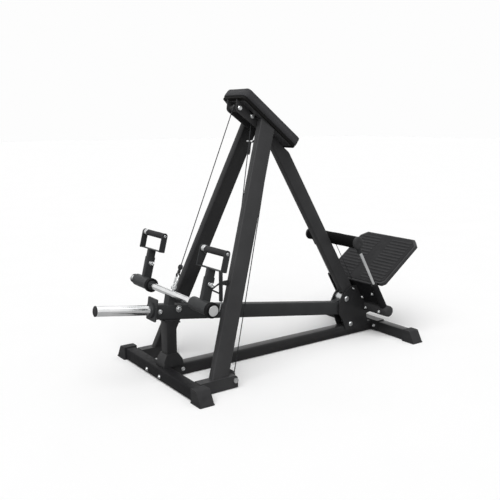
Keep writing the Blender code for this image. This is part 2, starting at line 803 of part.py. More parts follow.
def mount_underside(gap=FIT):
    return (pad_point(0, -FIT - MOUNT_PLATE - gap), PAD_OUT)


def leg_front(z, sign):
    """Point on the front face of a front leg at a height."""
    share = (z - LEG_LOW.z) / (LEG_HIGH.z - LEG_LOW.z)
    axis = LEG_LOW.lerp(LEG_HIGH, share)
    direction = (LEG_HIGH - LEG_LOW).normalized()
    across = (Y_AXIS - direction * direction.y).normalized()
    lift = across.z * LEG_DEPTH / 2
    front = axis - across * LEG_DEPTH / 2
    front -= direction * (-lift / direction.z)
    return Vector((sign * front.x, front.y, z))


def make_legs():
    for side, sign in SIDES:
        mirror = Vector((sign, 1, 1))
        leg = beam(LEG_LOW * mirror, LEG_HIGH * mirror, Y_AXIS, LEG_WIDTH, LEG_DEPTH,
                   LEG_ROUND, TUBE_WALL, (Vector((0, 0, TUBE_TOP + FIT)), Z_AXIS),
                   mount_underside())
        if sign > 0:
            leg = fuse(leg, latch_ears())
        add_piece(f"leg_{side}", leg, "frame")


def latch_pin():
    """Centre of the latch's pin."""
    return leg_front(LATCH_UP, 1) - Y_AXIS * LATCH_PIN_AHEAD


def latch_ears():
    """Round-nosed lug on the near leg with the latch's pin, beside the latch."""
    pin = latch_pin()
    rear = pin.y + LATCH_PIN_AHEAD + LEG_DEPTH / 2
    lug = prism(fillet([(pin.y - LATCH_EAR, pin.z - LATCH_EAR, LATCH_EAR),
                        (rear, pin.z - LATCH_EAR, 0), (rear, pin.z + LATCH_EAR, 0),
                        (pin.y - LATCH_EAR, pin.z + LATCH_EAR, LATCH_EAR)]),
                pin.x - LATCH_THICK / 2 - FIT - LATCH_LUG, pin.x - LATCH_THICK / 2 - FIT)
    reach = LATCH_THICK / 2 + LATCH_PIN_OUT
    stud = rod(pin - X_AXIS * reach, pin + X_AXIS * reach, LATCH_PIN_RADIUS, FEW_SIDES)
    return fuse(lug, stud)


def make_rear_leg():
    leg = beam(REAR_LEG_LOW, REAR_LEG_HIGH, Y_AXIS, REAR_LEG_WIDTH, REAR_LEG_DEPTH,
               LEG_ROUND, TUBE_WALL, (Vector((0, 0, REAR_LEG_FOOT)), Z_AXIS), mount_underside())
    add_piece("rear_leg", leg, "frame")


def make_head():
    """Side plates of the pulley head, their two axles and the pulleys between them."""
    inner = HEAD_HALF
    outer = inner + HEAD_PLATE
    slope = (PULLEY_REAR - PULLEY_FRONT).normalized()
    first = flat(PULLEY_FRONT)
    arc = []
    end = math.atan2(slope.z, slope.y) + 1.5 * math.pi - HEAD_ARC_SHORT
    for step in range(HEAD_ARC_STEPS + 1):
        angle = HEAD_ARC_START + (end - HEAD_ARC_START) * step / HEAD_ARC_STEPS
        arc.append((first[0] + HEAD_END * math.cos(angle), first[1] + HEAD_END * math.sin(angle)))
    top = FIT * 2 + MOUNT_PLATE
    outline = [flat(pad_point(HEAD_START, -top))] + arc
    outline += [flat(pad_point(HEAD_BACK, -HEAD_DEPTH)), flat(pad_point(HEAD_BACK, -top))]
    holes = [(*flat(PULLEY_FRONT), AXLE_RADIUS + RUN), (*flat(PULLEY_REAR), AXLE_RADIUS + RUN)]
    for side, sign in SIDES:
        low, high = sorted((sign * inner, sign * outer))
        add_piece(f"head_plate_{side}", prism(outline, low, high, holes=holes), "frame")
    for name, centre in (("front", PULLEY_FRONT), ("rear", PULLEY_REAR)):
        middle = Vector((0, centre.y, centre.z))
        add_piece(f"head_axle_{name}", bolt(middle, -outer, outer, AXLE_RADIUS), "steel")
        base = f"head_pulley_{name}_axis"
        add_base(base, centre, "machine")
        bm = pulley(centre, HEAD_GROOVE, HEAD_RIM, inner + PULLEY_X - 2 * FIT,
                    inner - PULLEY_X - 2 * FIT)
        add_piece(f"head_pulley_{name}", bm, "nylon", base)


def bolt(centre, low_x, high_x, radius, head=BOLT_HEAD, height=BOLT_HEAD_HEIGHT):
    """Through bolt along X with a round head on each side of what it clamps."""
    place = frame_at(centre, Y_AXIS, Z_AXIS)
    low = low_x - FIT
    high = high_x + FIT
    profile = [(0, low - height), (head * 0.75, low - height), (head, low - height * 0.6),
               (head, low), (radius, low), (radius, high), (head, high),
               (head, high + height * 0.6), (head * 0.75, high + height), (0, high + height)]
    return turned(profile, place)


def pulley(centre, groove, rim, hub_low, hub_high, sides=ROUND_SIDES):
    """Grooved pulley on an X axle, its hub reaching to the cheeks on both sides."""
    place = frame_at(centre, Y_AXIS, Z_AXIS)
    bore = AXLE_RADIUS + RUN
    half = PULLEY_HALF
    profile = [(bore, -hub_low), (HUB_RADIUS, -hub_low), (HUB_RADIUS, -half), (rim, -half),
               (rim, -half * 0.78), (groove, -half * 0.28), (groove, half * 0.28),
               (rim, half * 0.78), (rim, half), (HUB_RADIUS, half), (HUB_RADIUS, hub_high),
               (bore, hub_high)]
    return turned(profile, place, sides, True)


def make_pad():
    """Steel mount and board, both slotted over the pulleys, and the crowned cushion."""
    place = frame_at(pad_point(0, 0), X_AXIS, PAD_DOWN)
    mount = prism(panel(MOUNT_HALF, MOUNT_START, MOUNT_END, MOUNT_CORNER),
                  -FIT - MOUNT_PLATE, -FIT, place)
    add_piece("pad_mount", cut(mount, pad_slot(place)), "frame")
    board = panel(PAD_HALF - PAD_BOARD_INSET, PAD_BOARD_INSET, PAD_LENGTH - PAD_BOARD_INSET,
                  PAD_CORNER)
    add_piece("pad_board", cut(prism(board, 0, PAD_BOARD, place), pad_slot(place)), "board")
    make_cushion(frame_at(pad_point(PAD_LENGTH / 2, PAD_BOARD + FIT), X_AXIS, PAD_DOWN))


def panel(half, low, high, corner):
    """Rounded outline of a panel lengthwise on the pad's slope."""
    return fillet([(-half, low, corner), (half, low, corner), (half, high, corner),
                   (-half, high, corner)])


def pad_slot(place):
    """Cutter for the slot over the pulleys and the cable between them."""
    start = (PULLEY_FRONT - pad_point(0, 0)).dot(PAD_DOWN) + SLOT_AFTER_FRONT
    end = (PULLEY_REAR - pad_point(0, 0)).dot(PAD_DOWN) + SLOT_AFTER_REAR
    return prism(panel(SLOT_HALF, start, end, 0), -2 * MOUNT_PLATE, 2 * PAD_BOARD, place)


def make_cushion(place):
    """Upholstered pad: sides drawn in at the board, a soft upper edge and a crowned face."""
    rings = []
    for inset, height in cushion_profile():
        corner = max(PAD_CORNER - inset, PAD_CORNER_LEAST)
        ring = rounded_box(PAD_HALF - inset, PAD_LENGTH / 2 - inset, corner, 2 * ARC_STEPS)
        rings.append([place @ Vector((p.x, p.y, height)) for p in ring])
    add_piece("pad_cushion", loft(rings), "leather")


def cushion_profile(steps=4):
    """Inset and height of the cushion's rings, from the board to its middle."""
    rim = PAD_FOAM - PAD_CROWN
    profile = [(PAD_TUCK, 0.0), (0.0, 2 * PAD_TUCK)]
    for k in range(steps + 1):
        angle = math.pi / 2 * k / steps
        profile.append((PAD_SHOULDER * (1 - math.cos(angle)),
                        rim - PAD_SHOULDER * (1 - math.sin(angle))))
    reach = PAD_HALF - PAD_RIDGE - PAD_SHOULDER
    for k in range(1, steps):
        share = k / (steps - 1)
        profile.append((PAD_SHOULDER + reach * share,
                        rim + PAD_CROWN * math.sin(math.pi / 2 * share)))
    return profile


# Rear bracket, guides and footplate

def make_pivot_plates():
    """Cheeks that carry the lever's pin, the rear leg and the lower cross tube."""
    inner = TUBE / 2 + FIT
    outer = inner + PIVOT_PLATE
    clamp = clamp_centre()
    holes = [(*flat(PIVOT), PIN_RADIUS + RUN), (*flat(clamp), CLAMP_RADIUS + RUN),
             (*flat(guide_point(-LOW_TUBE_DOWN, 0)), LOW_TUBE_RADIUS + RUN)]
    for side, sign in SIDES:
        low, high = sorted((sign * inner, sign * outer))
        cheek = prism(cheek_outline(), low, high, holes=holes)
        add_piece(f"pivot_plate_{side}", cheek, "frame")
    pin = bolt(PIVOT, -outer, outer, PIN_RADIUS, PIN_HEAD, PIN_HEAD_HEIGHT)
    add_piece("pivot_pin", pin, "steel")
    clamp = bolt(clamp, -outer, outer, CLAMP_RADIUS, CLAMP_HEAD, CLAMP_HEAD_HEIGHT)
    add_piece("clamp_bolt", clamp, "steel")


def clamp_centre():
    """Middle of the bolt that holds the pivot plates down on the base beam."""
    return Vector((0, PIVOT.y + CLAMP_BEHIND, TUBE_TOP + CLAMP_RADIUS + CLAMP_GAP))


def cheek_outline():
    """Side view of a pivot plate, round the pivot, the guides, the lower tube and the clamp."""
    ahead = -CARRIER_AHEAD - FIT
    under = CARRIER_BOTTOM - FIT
    tube = guide_point(-LOW_TUBE_DOWN, 0)
    heel = FEET_APART - CHEEK_HEEL
    clamp = clamp_centre()
    low = clamp.z - CLAMP_LUG
    bend = CHEEK_BEND
    corners = [(*flat(PIVOT + CHEEK_LOW), bend / 2), (*flat(PIVOT + CHEEK_FRONT), bend),
               (*flat(PIVOT + CHEEK_BROW), bend), (*flat(PIVOT + CHEEK_CROWN), bend),
               (*flat(PIVOT + CHEEK_PEAK), 0.0), (*flat(guide_point(CHEEK_NECK, ahead)), 0.0),
               (*flat(guide_point(under, ahead)), 0.0),
               (*flat(guide_point(under, CHEEK_STEP)), bend / 2),
               (tube.y + TUBE_LUG, tube.z + TUBE_LUG_RISE, bend),
               (tube.y + TUBE_LUG_REAR, tube.z - TUBE_LUG, bend),
               (heel - CHEEK_HEEL_CUT, tube.z - TUBE_LUG, bend / 2), (heel, TUBE_TOP, bend / 2),
               (heel - CHEEK_HEEL_CUT / 2, CHEEK_HEEL_Z, bend / 2),
               (clamp.y + CLAMP_LUG, low, bend), (clamp.y - CLAMP_LUG, low, bend),
               (*flat(PIVOT + CHEEK_TOE), bend)]
    return fillet(corners)


def make_guides():
    """Carrier plate, lower cross tube and the two guide sleeves."""
    place = frame_at(GUIDE_TOP, X_AXIS, GUIDE_UP)
    half = GUIDE_X - GUIDE_RADIUS - FIT
    low, high = CARRIER_BOTTOM, CARRIER_TOP
    outline = [(-half, low), (half, low), (half, high), (-half, high)]
    carrier = prism(outline, CARRIER_AHEAD - CARRIER_THICK, CARRIER_AHEAD, place)
    add_piece("carrier_plate", carrier, "frame")
    make_lower_tube()
    bottom = -LOW_TUBE_DOWN + LOW_TUBE_RADIUS + FIT
    for side, sign in SIDES:
        x = sign * GUIDE_X
        sleeve = rod(guide_point(bottom, 0, x), guide_point(0, 0, x), GUIDE_RADIUS,
                     ROUND_SIDES, BAR_RADIUS + RUN)
        add_piece(f"guide_sleeve_{side}", sleeve, "frame")


def make_lower_tube():
    """Cross tube below the guides, plugged at both ends, with a drain hole in the far plug."""
    end = LOW_TUBE_HALF
    plug = end - LOW_TUBE_CAP
    radius = LOW_TUBE_RADIUS
    bore = radius - LOW_TUBE_WALL
    edge = LOW_TUBE_ROUND
    profile = [(DRAIN_RADIUS, -end), (radius - edge, -end), (radius - edge / 4, edge / 3 - end),
               (radius, edge - end), (radius, end - edge), (radius - edge / 4, end - edge / 3),
               (radius - edge, end), (0, end), (0, plug), (bore, plug), (bore, -plug),
               (DRAIN_RADIUS, -plug)]
    place = frame_at(guide_point(-LOW_TUBE_DOWN, 0), Y_AXIS, Z_AXIS)
    add_piece("lower_tube", turned(profile, place, MANY_SIDES, True), "frame")


def step_outline(inset, radius):
    """The footplate's outline drawn in by an inset, notched at the guide sleeves."""
    half = STEP_HALF - inset
    high = STEP_LENGTH - inset
    notch = STEP_NOTCH + inset
    x = STEP_NOTCH_X - inset
    right = [(x, inset, 0), (x, notch, 0), (half - STEP_LOW_CORNER, notch, radius),
             (half, notch + STEP_LOW_CORNER, radius), (half, high - STEP_CORNER, radius),
             (half - STEP_CORNER, high, radius)]
    left = [(-x, y, bend) for x, y, bend in reversed(right)]
    return fillet(right + left)


def make_footplate():
    """Folded steel tray, its ribbed mat and the arm below it."""
    place = frame_at(step_point(0, 0), X_AXIS, STEP_UP)
    tray = cut(prism(step_outline(0, STEP_BEND), -STEP_THICK, 0, place),
               prism(step_outline(STEP_SKIN, TREAD_BEND), -2 * STEP_THICK, -STEP_SKIN, place))
    add_piece("footplate", tray, "frame")
    mat = prism(step_outline(TREAD_MARGIN, TREAD_BEND), FIT, FIT + TREAD_THICK, place)
    add_piece("tread", fuse(mat, *tread_ribs(place)), "tread")
    add_piece("step_arm", make_step_arm(), "frame")


def make_step_arm():
    """Tapered channel from the carrier plate, up inside the tray to the middle of the step."""
    face = CARRIER_THICK - CARRIER_AHEAD + FIT
    under = -STEP_THICK - FIT
    inside = STEP_SKIN + FIT
    rim = step_point(0, under)
    points = [guide_point((rim - GUIDE_TOP).dot(GUIDE_UP) - inside, face),
              guide_point(-ARM_BLOCK_DROP, face),
              step_point(ARM_BLOCK_REACH, under - ARM_BLOCK_WALL * 2),
              step_point(ARM_BLOCK_REACH, -inside), step_point(inside, -inside),
              step_point(inside, under), rim]
    half = ARM_BLOCK_HALF
    channel = prism([flat(p) for p in points], -half, half)
    shift = (GUIDE_BACK - STEP_OUT) * ARM_BLOCK_WALL
    half -= ARM_BLOCK_WALL
    groove = rod(guide_point(-LOW_TUBE_DOWN, 0), GUIDE_TOP, CENTRE_ROD + ROD_PLAY, FEW_SIDES)
    return cut(channel, prism([flat(p + shift) for p in points], -half, half), groove)


def tread_ribs(place):
    """Two panels of straight ribs across the mat, each panel one comb-shaped strip."""
    top = FIT + TREAD_THICK + RIB_HEIGHT
    root = FIT + TREAD_THICK / 2
    start = STEP_NOTCH + TREAD_MARGIN + RIB_START
    room = STEP_LENGTH - start - TREAD_MARGIN - STEP_CORNER / 2 - RIB_WIDTH
    count = int(room / RIB_PITCH)
    combs = []
    for sign in (-1, 1):
        low, high = sorted((sign * RIB_INNER, sign * RIB_OUTER))
        for k in range(count + 1):
            y = start + k * RIB_PITCH
            outline = [(low, y), (high, y), (high, y + RIB_WIDTH), (low, y + RIB_WIDTH)]
            combs.append(prism(outline, root, top, place))
    return combs


def make_roller_carriage():
    """Sliding bars, the cross tube with its sockets and centre rod, and the foam roller."""
    add_base("roller_slide", guide_point(0, 0), "machine")
    for side, sign in SIDES:
        x = sign * GUIDE_X
        bar = rod(guide_point(BAR_BOTTOM, 0, x), guide_point(BAR_TOP, 0, x), BAR_RADIUS)
        add_piece(f"slide_bar_{side}", bar, "chrome", "roller_slide")
    axis = guide_point(ROLLER_UP, ROLLER_BACK)
    end = ROLLER_HALF - ROLLER_TUBE_SHORT
    tube = rod(axis - X_AXIS * end, axis + X_AXIS * end, ROLLER_TUBE)
    stems = []
    holes = []
    low, high = BAR_TOP + FIT, ROLLER_UP
    for x in (-GUIDE_X, GUIDE_X):
        stems.append(rod(guide_point(low, 0, x), guide_point(high, 0, x), SOCKET_RADIUS))
        holes.append(rod(guide_point(low, 0, x), guide_point(high + FIT, 0, x),
                         SOCKET_RADIUS + FIT))
    stems.append(rod(guide_point(BAR_BOTTOM, 0), guide_point(high, 0), CENTRE_ROD, FEW_SIDES))
    holes.append(rod(guide_point(low, 0), guide_point(high + FIT, 0), CENTRE_ROD + FIT,
                     FEW_SIDES))
    add_piece("roller_axle", fuse(tube, *stems), "lever", "roller_slide")
    half, r, e = ROLLER_HALF, ROLLER_RADIUS, ROLLER_ROUND
    profile = [(ROLLER_TUBE + FIT, -half)]
    for k in range(ARC_STEPS + 1):
        angle = math.pi / 2 * k / ARC_STEPS
        profile.append((r - e + e * math.sin(angle), -half + e - e * math.cos(angle)))
    profile += [(radius, -height) for radius, height in reversed(profile)]
    foam = turned(profile, frame_at(axis, Y_AXIS, Z_AXIS), MANY_SIDES, True)
    add_piece("roller", cut(foam, *holes), "foam", "roller_slide")


# Lever with horn, cross tube and handles

def make_lever():
    add_base("lever_pivot", PIVOT, "machine")
    line = -LEVER_DROP
    tube = beam(lever_point(-LEVER_TAIL, line), lever_point(LEVER_LENGTH, line), Z_AXIS,
                LEVER_WIDTH, LEVER_DEPTH, TUBE_ROUND, TUBE_WALL)
    half = TUBE / 2 - BUSH_PLAY
    hub = rod(PIVOT - X_AXIS * half, PIVOT + X_AXIS * half, BUSH_RADIUS, MANY_SIDES)
    place = frame_at(PIVOT, LEVER_AHEAD, LEVER_UP)
    inside = LEVER_WIDTH / 2 - WEB_SIDE
    rear = -BUSH_RADIUS * 0.8
    edge = line + (LEVER_DEPTH - TUBE_WALL) / 2
    web = prism([(rear, line), (HUB_WEB_AHEAD, line), (HUB_WEB_AHEAD, edge),
                 (BUSH_RADIUS, -HUB_WEB_DROP), (rear, -HUB_WEB_DROP)], -inside, inside, place)
    bore = rod(PIVOT - X_AXIS * PAST, PIVOT + X_AXIS * PAST, PIN_RADIUS + RUN)
    ahead, up = CROSS_AHEAD, CROSS_UP - CRADLE_DROP
    inside = LEVER_WIDTH / 2 - CRADLE_SIDE
    cradle = prism([(ahead - CRADLE_HALF, line), (ahead + CRADLE_HALF, line),
                    (ahead + CRADLE_TOP_HALF, up), (ahead - CRADLE_TOP_HALF, up)],
                   -inside, inside, place)
    seat = rod(CROSS - X_AXIS * PAST, CROSS + X_AXIS * PAST, CROSS_RADIUS + FIT)
    bm = cut(fuse(tube, web, hub, cradle), bore, seat)
    add_piece("lever", bm, "lever", "lever_pivot")


def make_horn():
    """Stop plate, loading horn with its collar, and the end cap."""
    line = -LEVER_DROP
    place = frame_at(lever_point(LEVER_LENGTH + FIT, line), X_AXIS, LEVER_UP)
    plate = panel(STOP_HALF, -STOP_BELOW, STOP_ABOVE, STOP_CORNER)
    add_piece("stop_plate", prism(plate, 0, STOP_THICK, place), "lever", "lever_pivot")
    root = lever_point(LEVER_LENGTH + STOP_THICK + 2 * FIT, line + HORN_RISE)
    place = frame_at(root, X_AXIS, LEVER_UP)
    bore = HORN_RADIUS - HORN_WALL
    profile = [(bore, 0), (COLLAR_RADIUS, 0), (COLLAR_RADIUS, COLLAR_LENGTH),
               (HORN_RADIUS, COLLAR_LENGTH), (HORN_RADIUS, HORN_LENGTH), (bore, HORN_LENGTH)]
    add_piece("horn", turned(profile, place, MANY_SIDES, True), "chrome", "lever_pivot")
    low = HORN_LENGTH + FIT
    plug = low - HORN_CAP_PLUG
    lip = HORN_RADIUS + HORN_CAP_LIP
    profile = [(0, plug), (bore - FIT, plug), (bore - FIT, low), (lip, low),
               (lip, low + HORN_CAP_THICK * 0.6),
               (HORN_RADIUS - HORN_CAP_BEVEL, low + HORN_CAP_THICK), (0, low + HORN_CAP_THICK)]
    add_piece("horn_cap", turned(profile, place, MANY_SIDES), "rubber", "lever_pivot")


def make_cross_tube():
    """Chrome cross tube with flat end discs and the handle sleeves around it."""
    place = frame_at(CROSS, Y_AXIS, Z_AXIS)
    end = CROSS_HALF
    profile = [(0, -end - DISC_THICK), (DISC_RADIUS, -end - DISC_THICK), (DISC_RADIUS, -end),
               (CROSS_RADIUS, -end), (CROSS_RADIUS, end), (DISC_RADIUS, end),
               (DISC_RADIUS, end + DISC_THICK), (0, end + DISC_THICK)]
    add_piece("cross_tube", turned(profile, place), "chrome", "lever_pivot")
    for side, sign in SIDES:
        low = sign * HANDLE_X - SLEEVE_BEFORE
        high = sign * HANDLE_X + SLEEVE_AFTER
        bore = CROSS_RADIUS + FIT
        profile = [(bore, low), (SLEEVE_RADIUS, low), (SLEEVE_RADIUS, high), (RING_RADIUS, high),
                   (RING_RADIUS, high + RING_LENGTH), (bore, high + RING_LENGTH)]
        sleeve = turned(profile, place, MANY_SIDES, True)
        arm = beam(arm_point(sign, 0), arm_point(sign, ARM_TOP), Y_AXIS, ARM_WIDTH, ARM_DEPTH,
                   ARM_CORNER)
        arm = cut(arm, rod(CROSS - X_AXIS, CROSS + X_AXIS, SLEEVE_RADIUS - BITE, MANY_SIDES))
        socket = beam(arm_point(sign, STEM_BASE - BITE), arm_point(sign, ARM_TOP + PAST),
                      Y_AXIS, ARM_WIDTH - 2 * ARM_WALL, ARM_DEPTH - 2 * ARM_WALL, STEM_CORNER)
        pin = arm_point(sign, HANDLE_PIN_UP)
        hole = rod(pin, pin + X_AXIS * ARM_WIDTH, NOSE_RADIUS + RUN, FEW_SIDES)
        bm = cut(fuse(sleeve, arm), socket, hole)
        add_piece(f"handle_sleeve_{side}", bm, "lever", "lever_pivot")


def make_handles():
    for side, sign in SIDES:
        slide = f"handle_slide_{side}"
        add_base(slide, arm_point(sign, 0), "lever_pivot")
        make_handle_frame(side, sign, slide)
        make_grip(side, sign, slide)
        make_handle_pin(side, sign)


def handle_frame_place(sign):
    """Frame of a D handle: x across it, y up the arm, at the middle of its lower bar."""
    across = Matrix.Rotation(D_YAW, 3, ARM_UP) @ X_AXIS
    return frame_at(arm_point(sign, D_BASE), across, ARM_UP)


def make_handle_frame(side, sign, slide):
    """Sliding stem with the D-shaped frame on its end."""
    play = ARM_WALL + RUN
    stem = beam(arm_point(sign, STEM_BASE), arm_point(sign, D_BASE + D_FLOOR / 2), Y_AXIS,
                ARM_WIDTH - 2 * play, ARM_DEPTH - 2 * play, STEM_CORNER)
    place = handle_frame_place(sign)
    half = D_WIDTH / 2
    top = D_DEPTH / 2
    bite = D_PLATE / 4
    outline = [(-half + bite, 0), (half - bite, 0), (half - bite, D_FLOOR),
               (-half + bite, D_FLOOR)]
    floor = prism(outline, bite - top, top - bite, place)
    sheets = []
    for end in (-1, 1):
        low, high = sorted((end * half, end * (half - D_PLATE)))
        cheek = place @ frame_at((0, 0, 0), (0, 0, -1), (0, 1, 0))
        outline = fillet([(-top, -bite, D_CORNER), (top, -bite, D_CORNER),
                          (top, D_HEIGHT, top * 0.98), (-top, D_HEIGHT, top * 0.98)],
                         2 * ARC_STEPS)
        sheets.append(prism(outline, low, high, cheek,
                            [(0, D_HEIGHT - top, GRIP_PIN + RUN)]))
    bm = fuse(stem, floor, *sheets)
    add_piece(f"handle_{side}", bm, "lever", slide)


def make_grip(side, sign, slide):
    """Round grip that turns between the cheeks on stub pins."""
    place = handle_frame_place(sign)
    centre = place @ Vector((0, D_HEIGHT - D_DEPTH / 2, 0))
    base = f"grip_axis_{side}"
    add_base(base, centre, slide)
    inner = D_WIDTH / 2 - D_PLATE - GRIP_PLAY
    outer = D_WIDTH / 2 + GRIP_PIN_OUT
    waist = GRIP_RADIUS - GRIP_WAIST
    place = place @ frame_at((0, D_HEIGHT - D_DEPTH / 2, 0), (0, 0, -1), (0, 1, 0))
    profile = [(0, -outer), (GRIP_PIN, -outer), (GRIP_PIN, -inner), (waist, -inner),
               (waist, GRIP_COLLAR - inner), (GRIP_RADIUS, GRIP_COLLAR + GRIP_WAIST / 2 - inner),
               (GRIP_RADIUS, inner - GRIP_WAIST), (waist, inner), (GRIP_PIN, inner),
               (GRIP_PIN, outer), (0, outer)]
    add_piece(f"grip_{side}", turned(profile, place), "rubber", base)


def make_handle_pin(side, sign):
    """Spring pin on the arm's +X side: nose in the wall, knob outside, pull ring at its end."""
    at = arm_point(sign, HANDLE_PIN_UP)
    base = f"handle_pin_slide_{side}"
    add_base(base, at, "lever_pivot")
    wall = ARM_WIDTH / 2
    place = frame_at(at, Y_AXIS, Z_AXIS)
    nose = wall - ARM_WALL + FIT
    profile = [(0, nose), (NOSE_RADIUS, nose), (NOSE_RADIUS, wall + FIT),
               (KNOB_RADIUS, wall + FIT), (KNOB_RADIUS, wall + KNOB_LENGTH * 0.45),
               (KNOB_RADIUS * KNOB_WAIST, wall + KNOB_LENGTH * 0.5),
               (KNOB_RADIUS * KNOB_WAIST, wall + KNOB_LENGTH), (0, wall + KNOB_LENGTH)]
    body = turned(profile, place)
    ring = turned([(PULL_RING + PULL_WIRE * math.cos(a), PULL_WIRE * math.sin(a))
                   for a in (math.pi / 3 * k for k in range(6))],
                  frame_at(at + X_AXIS * (wall + KNOB_LENGTH + PULL_RING * 0.8), X_AXIS, Z_AXIS),
                  FEW_SIDES, True)
    add_piece(f"handle_pin_{side}", fuse(body, ring), "steel", base)


# Cable, its ends and pulleys

def tangent(first, first_radius, second, second_radius, turn):
    """Ends of the line that touches two circles in the side view.

    A radius is positive on the side that the line's direction, turned a quarter, points to.
    """
    gap = second - first
    normal = gap.normalized()
    angle = math.acos((first_radius - second_radius) / gap.length) * turn
    normal = Vector((normal.x * math.cos(angle) - normal.y * math.sin(angle),
                     normal.x * math.sin(angle) + normal.y * math.cos(angle)))
    return first + normal * first_radius, second + normal * second_radius


def wrap(centre, start, end, x, clockwise, steps):
    """Points round a pulley from one tangent point to the next."""
    one, two = start - centre, end - centre
    first = math.atan2(one.y, one.x)
    sweep = (math.atan2(two.y, two.x) - first) % (2 * math.pi)
    if clockwise:
        sweep -= 2 * math.pi
    points = []
    for step in range(steps + 1):
        angle = first + sweep * step / steps
        points.append(Vector((x, centre.x + one.length * math.cos(angle),
                              centre.y + one.length * math.sin(angle))))
    return points


def front_run():
    """Lower and upper end of the cable's front run, in the side view."""
    tie = Vector(flat(CROSS))
    _, high = tangent(tie, 0.0, Vector(flat(PULLEY_FRONT)), CABLE_ON_HEAD, 1)
    return tie, high


def make_cable():
    """Whole route: over both head pulleys, down and round the foot pulley, up to the rear leg."""
    head_one, head_two = Vector(flat(PULLEY_FRONT)), Vector(flat(PULLEY_REAR))
    foot = Vector((FOOT_PULLEY_Y, FOOT_PULLEY_Z))
    depart, top, direction = anchor_line()
    _, rise = front_run()
    top_one, top_two = tangent(head_one, CABLE_ON_HEAD, head_two, CABLE_ON_HEAD, 1)
    leave, arrive = tangent(head_two, CABLE_ON_HEAD, foot, -CABLE_ON_FOOT, 1)
    points = wrap(head_one, rise, top_one, PULLEY_X, True, HEAD_WRAP)
    points += wrap(head_two, top_two, leave, PULLEY_X, True, HEAD_WRAP)
    points += wrap(foot, arrive, depart, FOOT_PULLEY_X, False, FOOT_WRAP)
    points.append(top + direction * (ANCHOR_LENGTH + FIT))
    wire("cable", points, CABLE_RADIUS, "steel")


def anchor_line():
    """Where the cable leaves the foot pulley, its far end, and the direction back down."""
    top = Vector((ANCHOR_X, ANCHOR_Y, ANCHOR_Z))
    foot = Vector((FOOT_PULLEY_Y, FOOT_PULLEY_Z))
    depart, _ = tangent(foot, CABLE_ON_FOOT, Vector(flat(top)), 0.0, -1)
    direction = Vector((FOOT_PULLEY_X, depart.x, depart.y)) - top
    return depart, top, direction.normalized()


def make_anchor():
    """Stud under the pad's mount with the socket of the cable's far end."""
    _, top, direction = anchor_line()
    low = top + direction * ANCHOR_LENGTH
    reach = (pad_point(0, -MOUNT_PLATE - 2 * FIT) - top).dot(PAD_OUT)
    stud = rod(top, top + PAD_OUT * reach, ANCHOR_STUD, FEW_SIDES)
    socket = rod(top - direction * ANCHOR_BACK, low, ANCHOR_SOCKET, FEW_SIDES)
    add_piece("cable_anchor", fuse(stud, socket), "steel")


def make_front_run():
    """Eye on the cross tube, snap link, ferrule and the cable's front run."""
    low, high = front_run()
    start = Vector((PULLEY_X, low.x, low.y))
    direction = (Vector((PULLEY_X, high.x, high.y)) - start).normalized()
    across = X_AXIS.cross(direction)
    eye = start + direction * (CROSS_RADIUS + FIT + EYE_WIRE + EYE_RADIUS)
    ring = [eye + (direction * math.cos(a) + across * math.sin(a)) * EYE_RADIUS
            for a in (math.pi / 10 * k for k in range(20))]
    wire("cable_eye", ring, EYE_WIRE, "steel", "lever_pivot", True)
    reach = LINK_HALF + LINK_RADIUS - LINK_WIRE - FIT
    link = eye + direction * reach
    wire("snap_link", racetrack(link, direction, X_AXIS, LINK_HALF, LINK_RADIUS), LINK_WIRE,
         "steel", "lever_pivot", True)
    loop = link + direction * (reach - LOOP_WIRE + LOOP_RADIUS)
    ring = turned([(LOOP_RADIUS + LOOP_WIRE * math.cos(a), LOOP_WIRE * math.sin(a))
                   for a in (math.pi / 4 * k for k in range(8))],
                  frame_at(loop, direction, across), ROUND_SIDES, True)
    ferrule_low = loop + direction * LOOP_RADIUS
    ferrule_high = ferrule_low + direction * FERRULE_LENGTH
    body = rod(ferrule_low, ferrule_high, FERRULE_RADIUS, FEW_SIDES)
    add_piece("cable_ferrule", fuse(ring, body), "rubber", "lever_pivot")
    end = Vector((PULLEY_X, high.x, high.y))
    wire("cable_front", [ferrule_high + direction * FIT, end - direction * 2 * FIT],
         CABLE_RADIUS, "steel", "lever_pivot")


def make_foot_pulley():
    centre = Vector((FOOT_PULLEY_X, FOOT_PULLEY_Y, FOOT_PULLEY_Z))
    add_base("foot_pulley_axis", centre, "machine")
    stub_inner = STUB_X - STUB_WIDTH / 2
    hub_high = stub_inner - FOOT_PULLEY_X - 2 * FIT
    hub_low = PULLEY_HALF + WASHER_GAP
    wheel = pulley(centre, FOOT_GROOVE, FOOT_RIM, hub_low, hub_high, MANY_SIDES)
    add_piece("foot_pulley", wheel, "nylon", "foot_pulley_axis")
    washer_high = -hub_low - FIT
    stub_outer = STUB_X + STUB_WIDTH / 2 - FOOT_PULLEY_X + FIT
    profile = [(0, washer_high - WASHER_THICK), (WASHER_RADIUS, washer_high - WASHER_THICK),
               (WASHER_RADIUS, washer_high), (AXLE_RADIUS, washer_high),
               (AXLE_RADIUS, stub_outer), (BOLT_HEAD, stub_outer),
               (BOLT_HEAD, stub_outer + BOLT_HEAD_HEIGHT), (0, stub_outer + BOLT_HEAD_HEIGHT)]
    axle = turned(profile, frame_at(centre, Y_AXIS, Z_AXIS))
    add_piece("foot_pulley_axle", axle, "steel")


# Latch

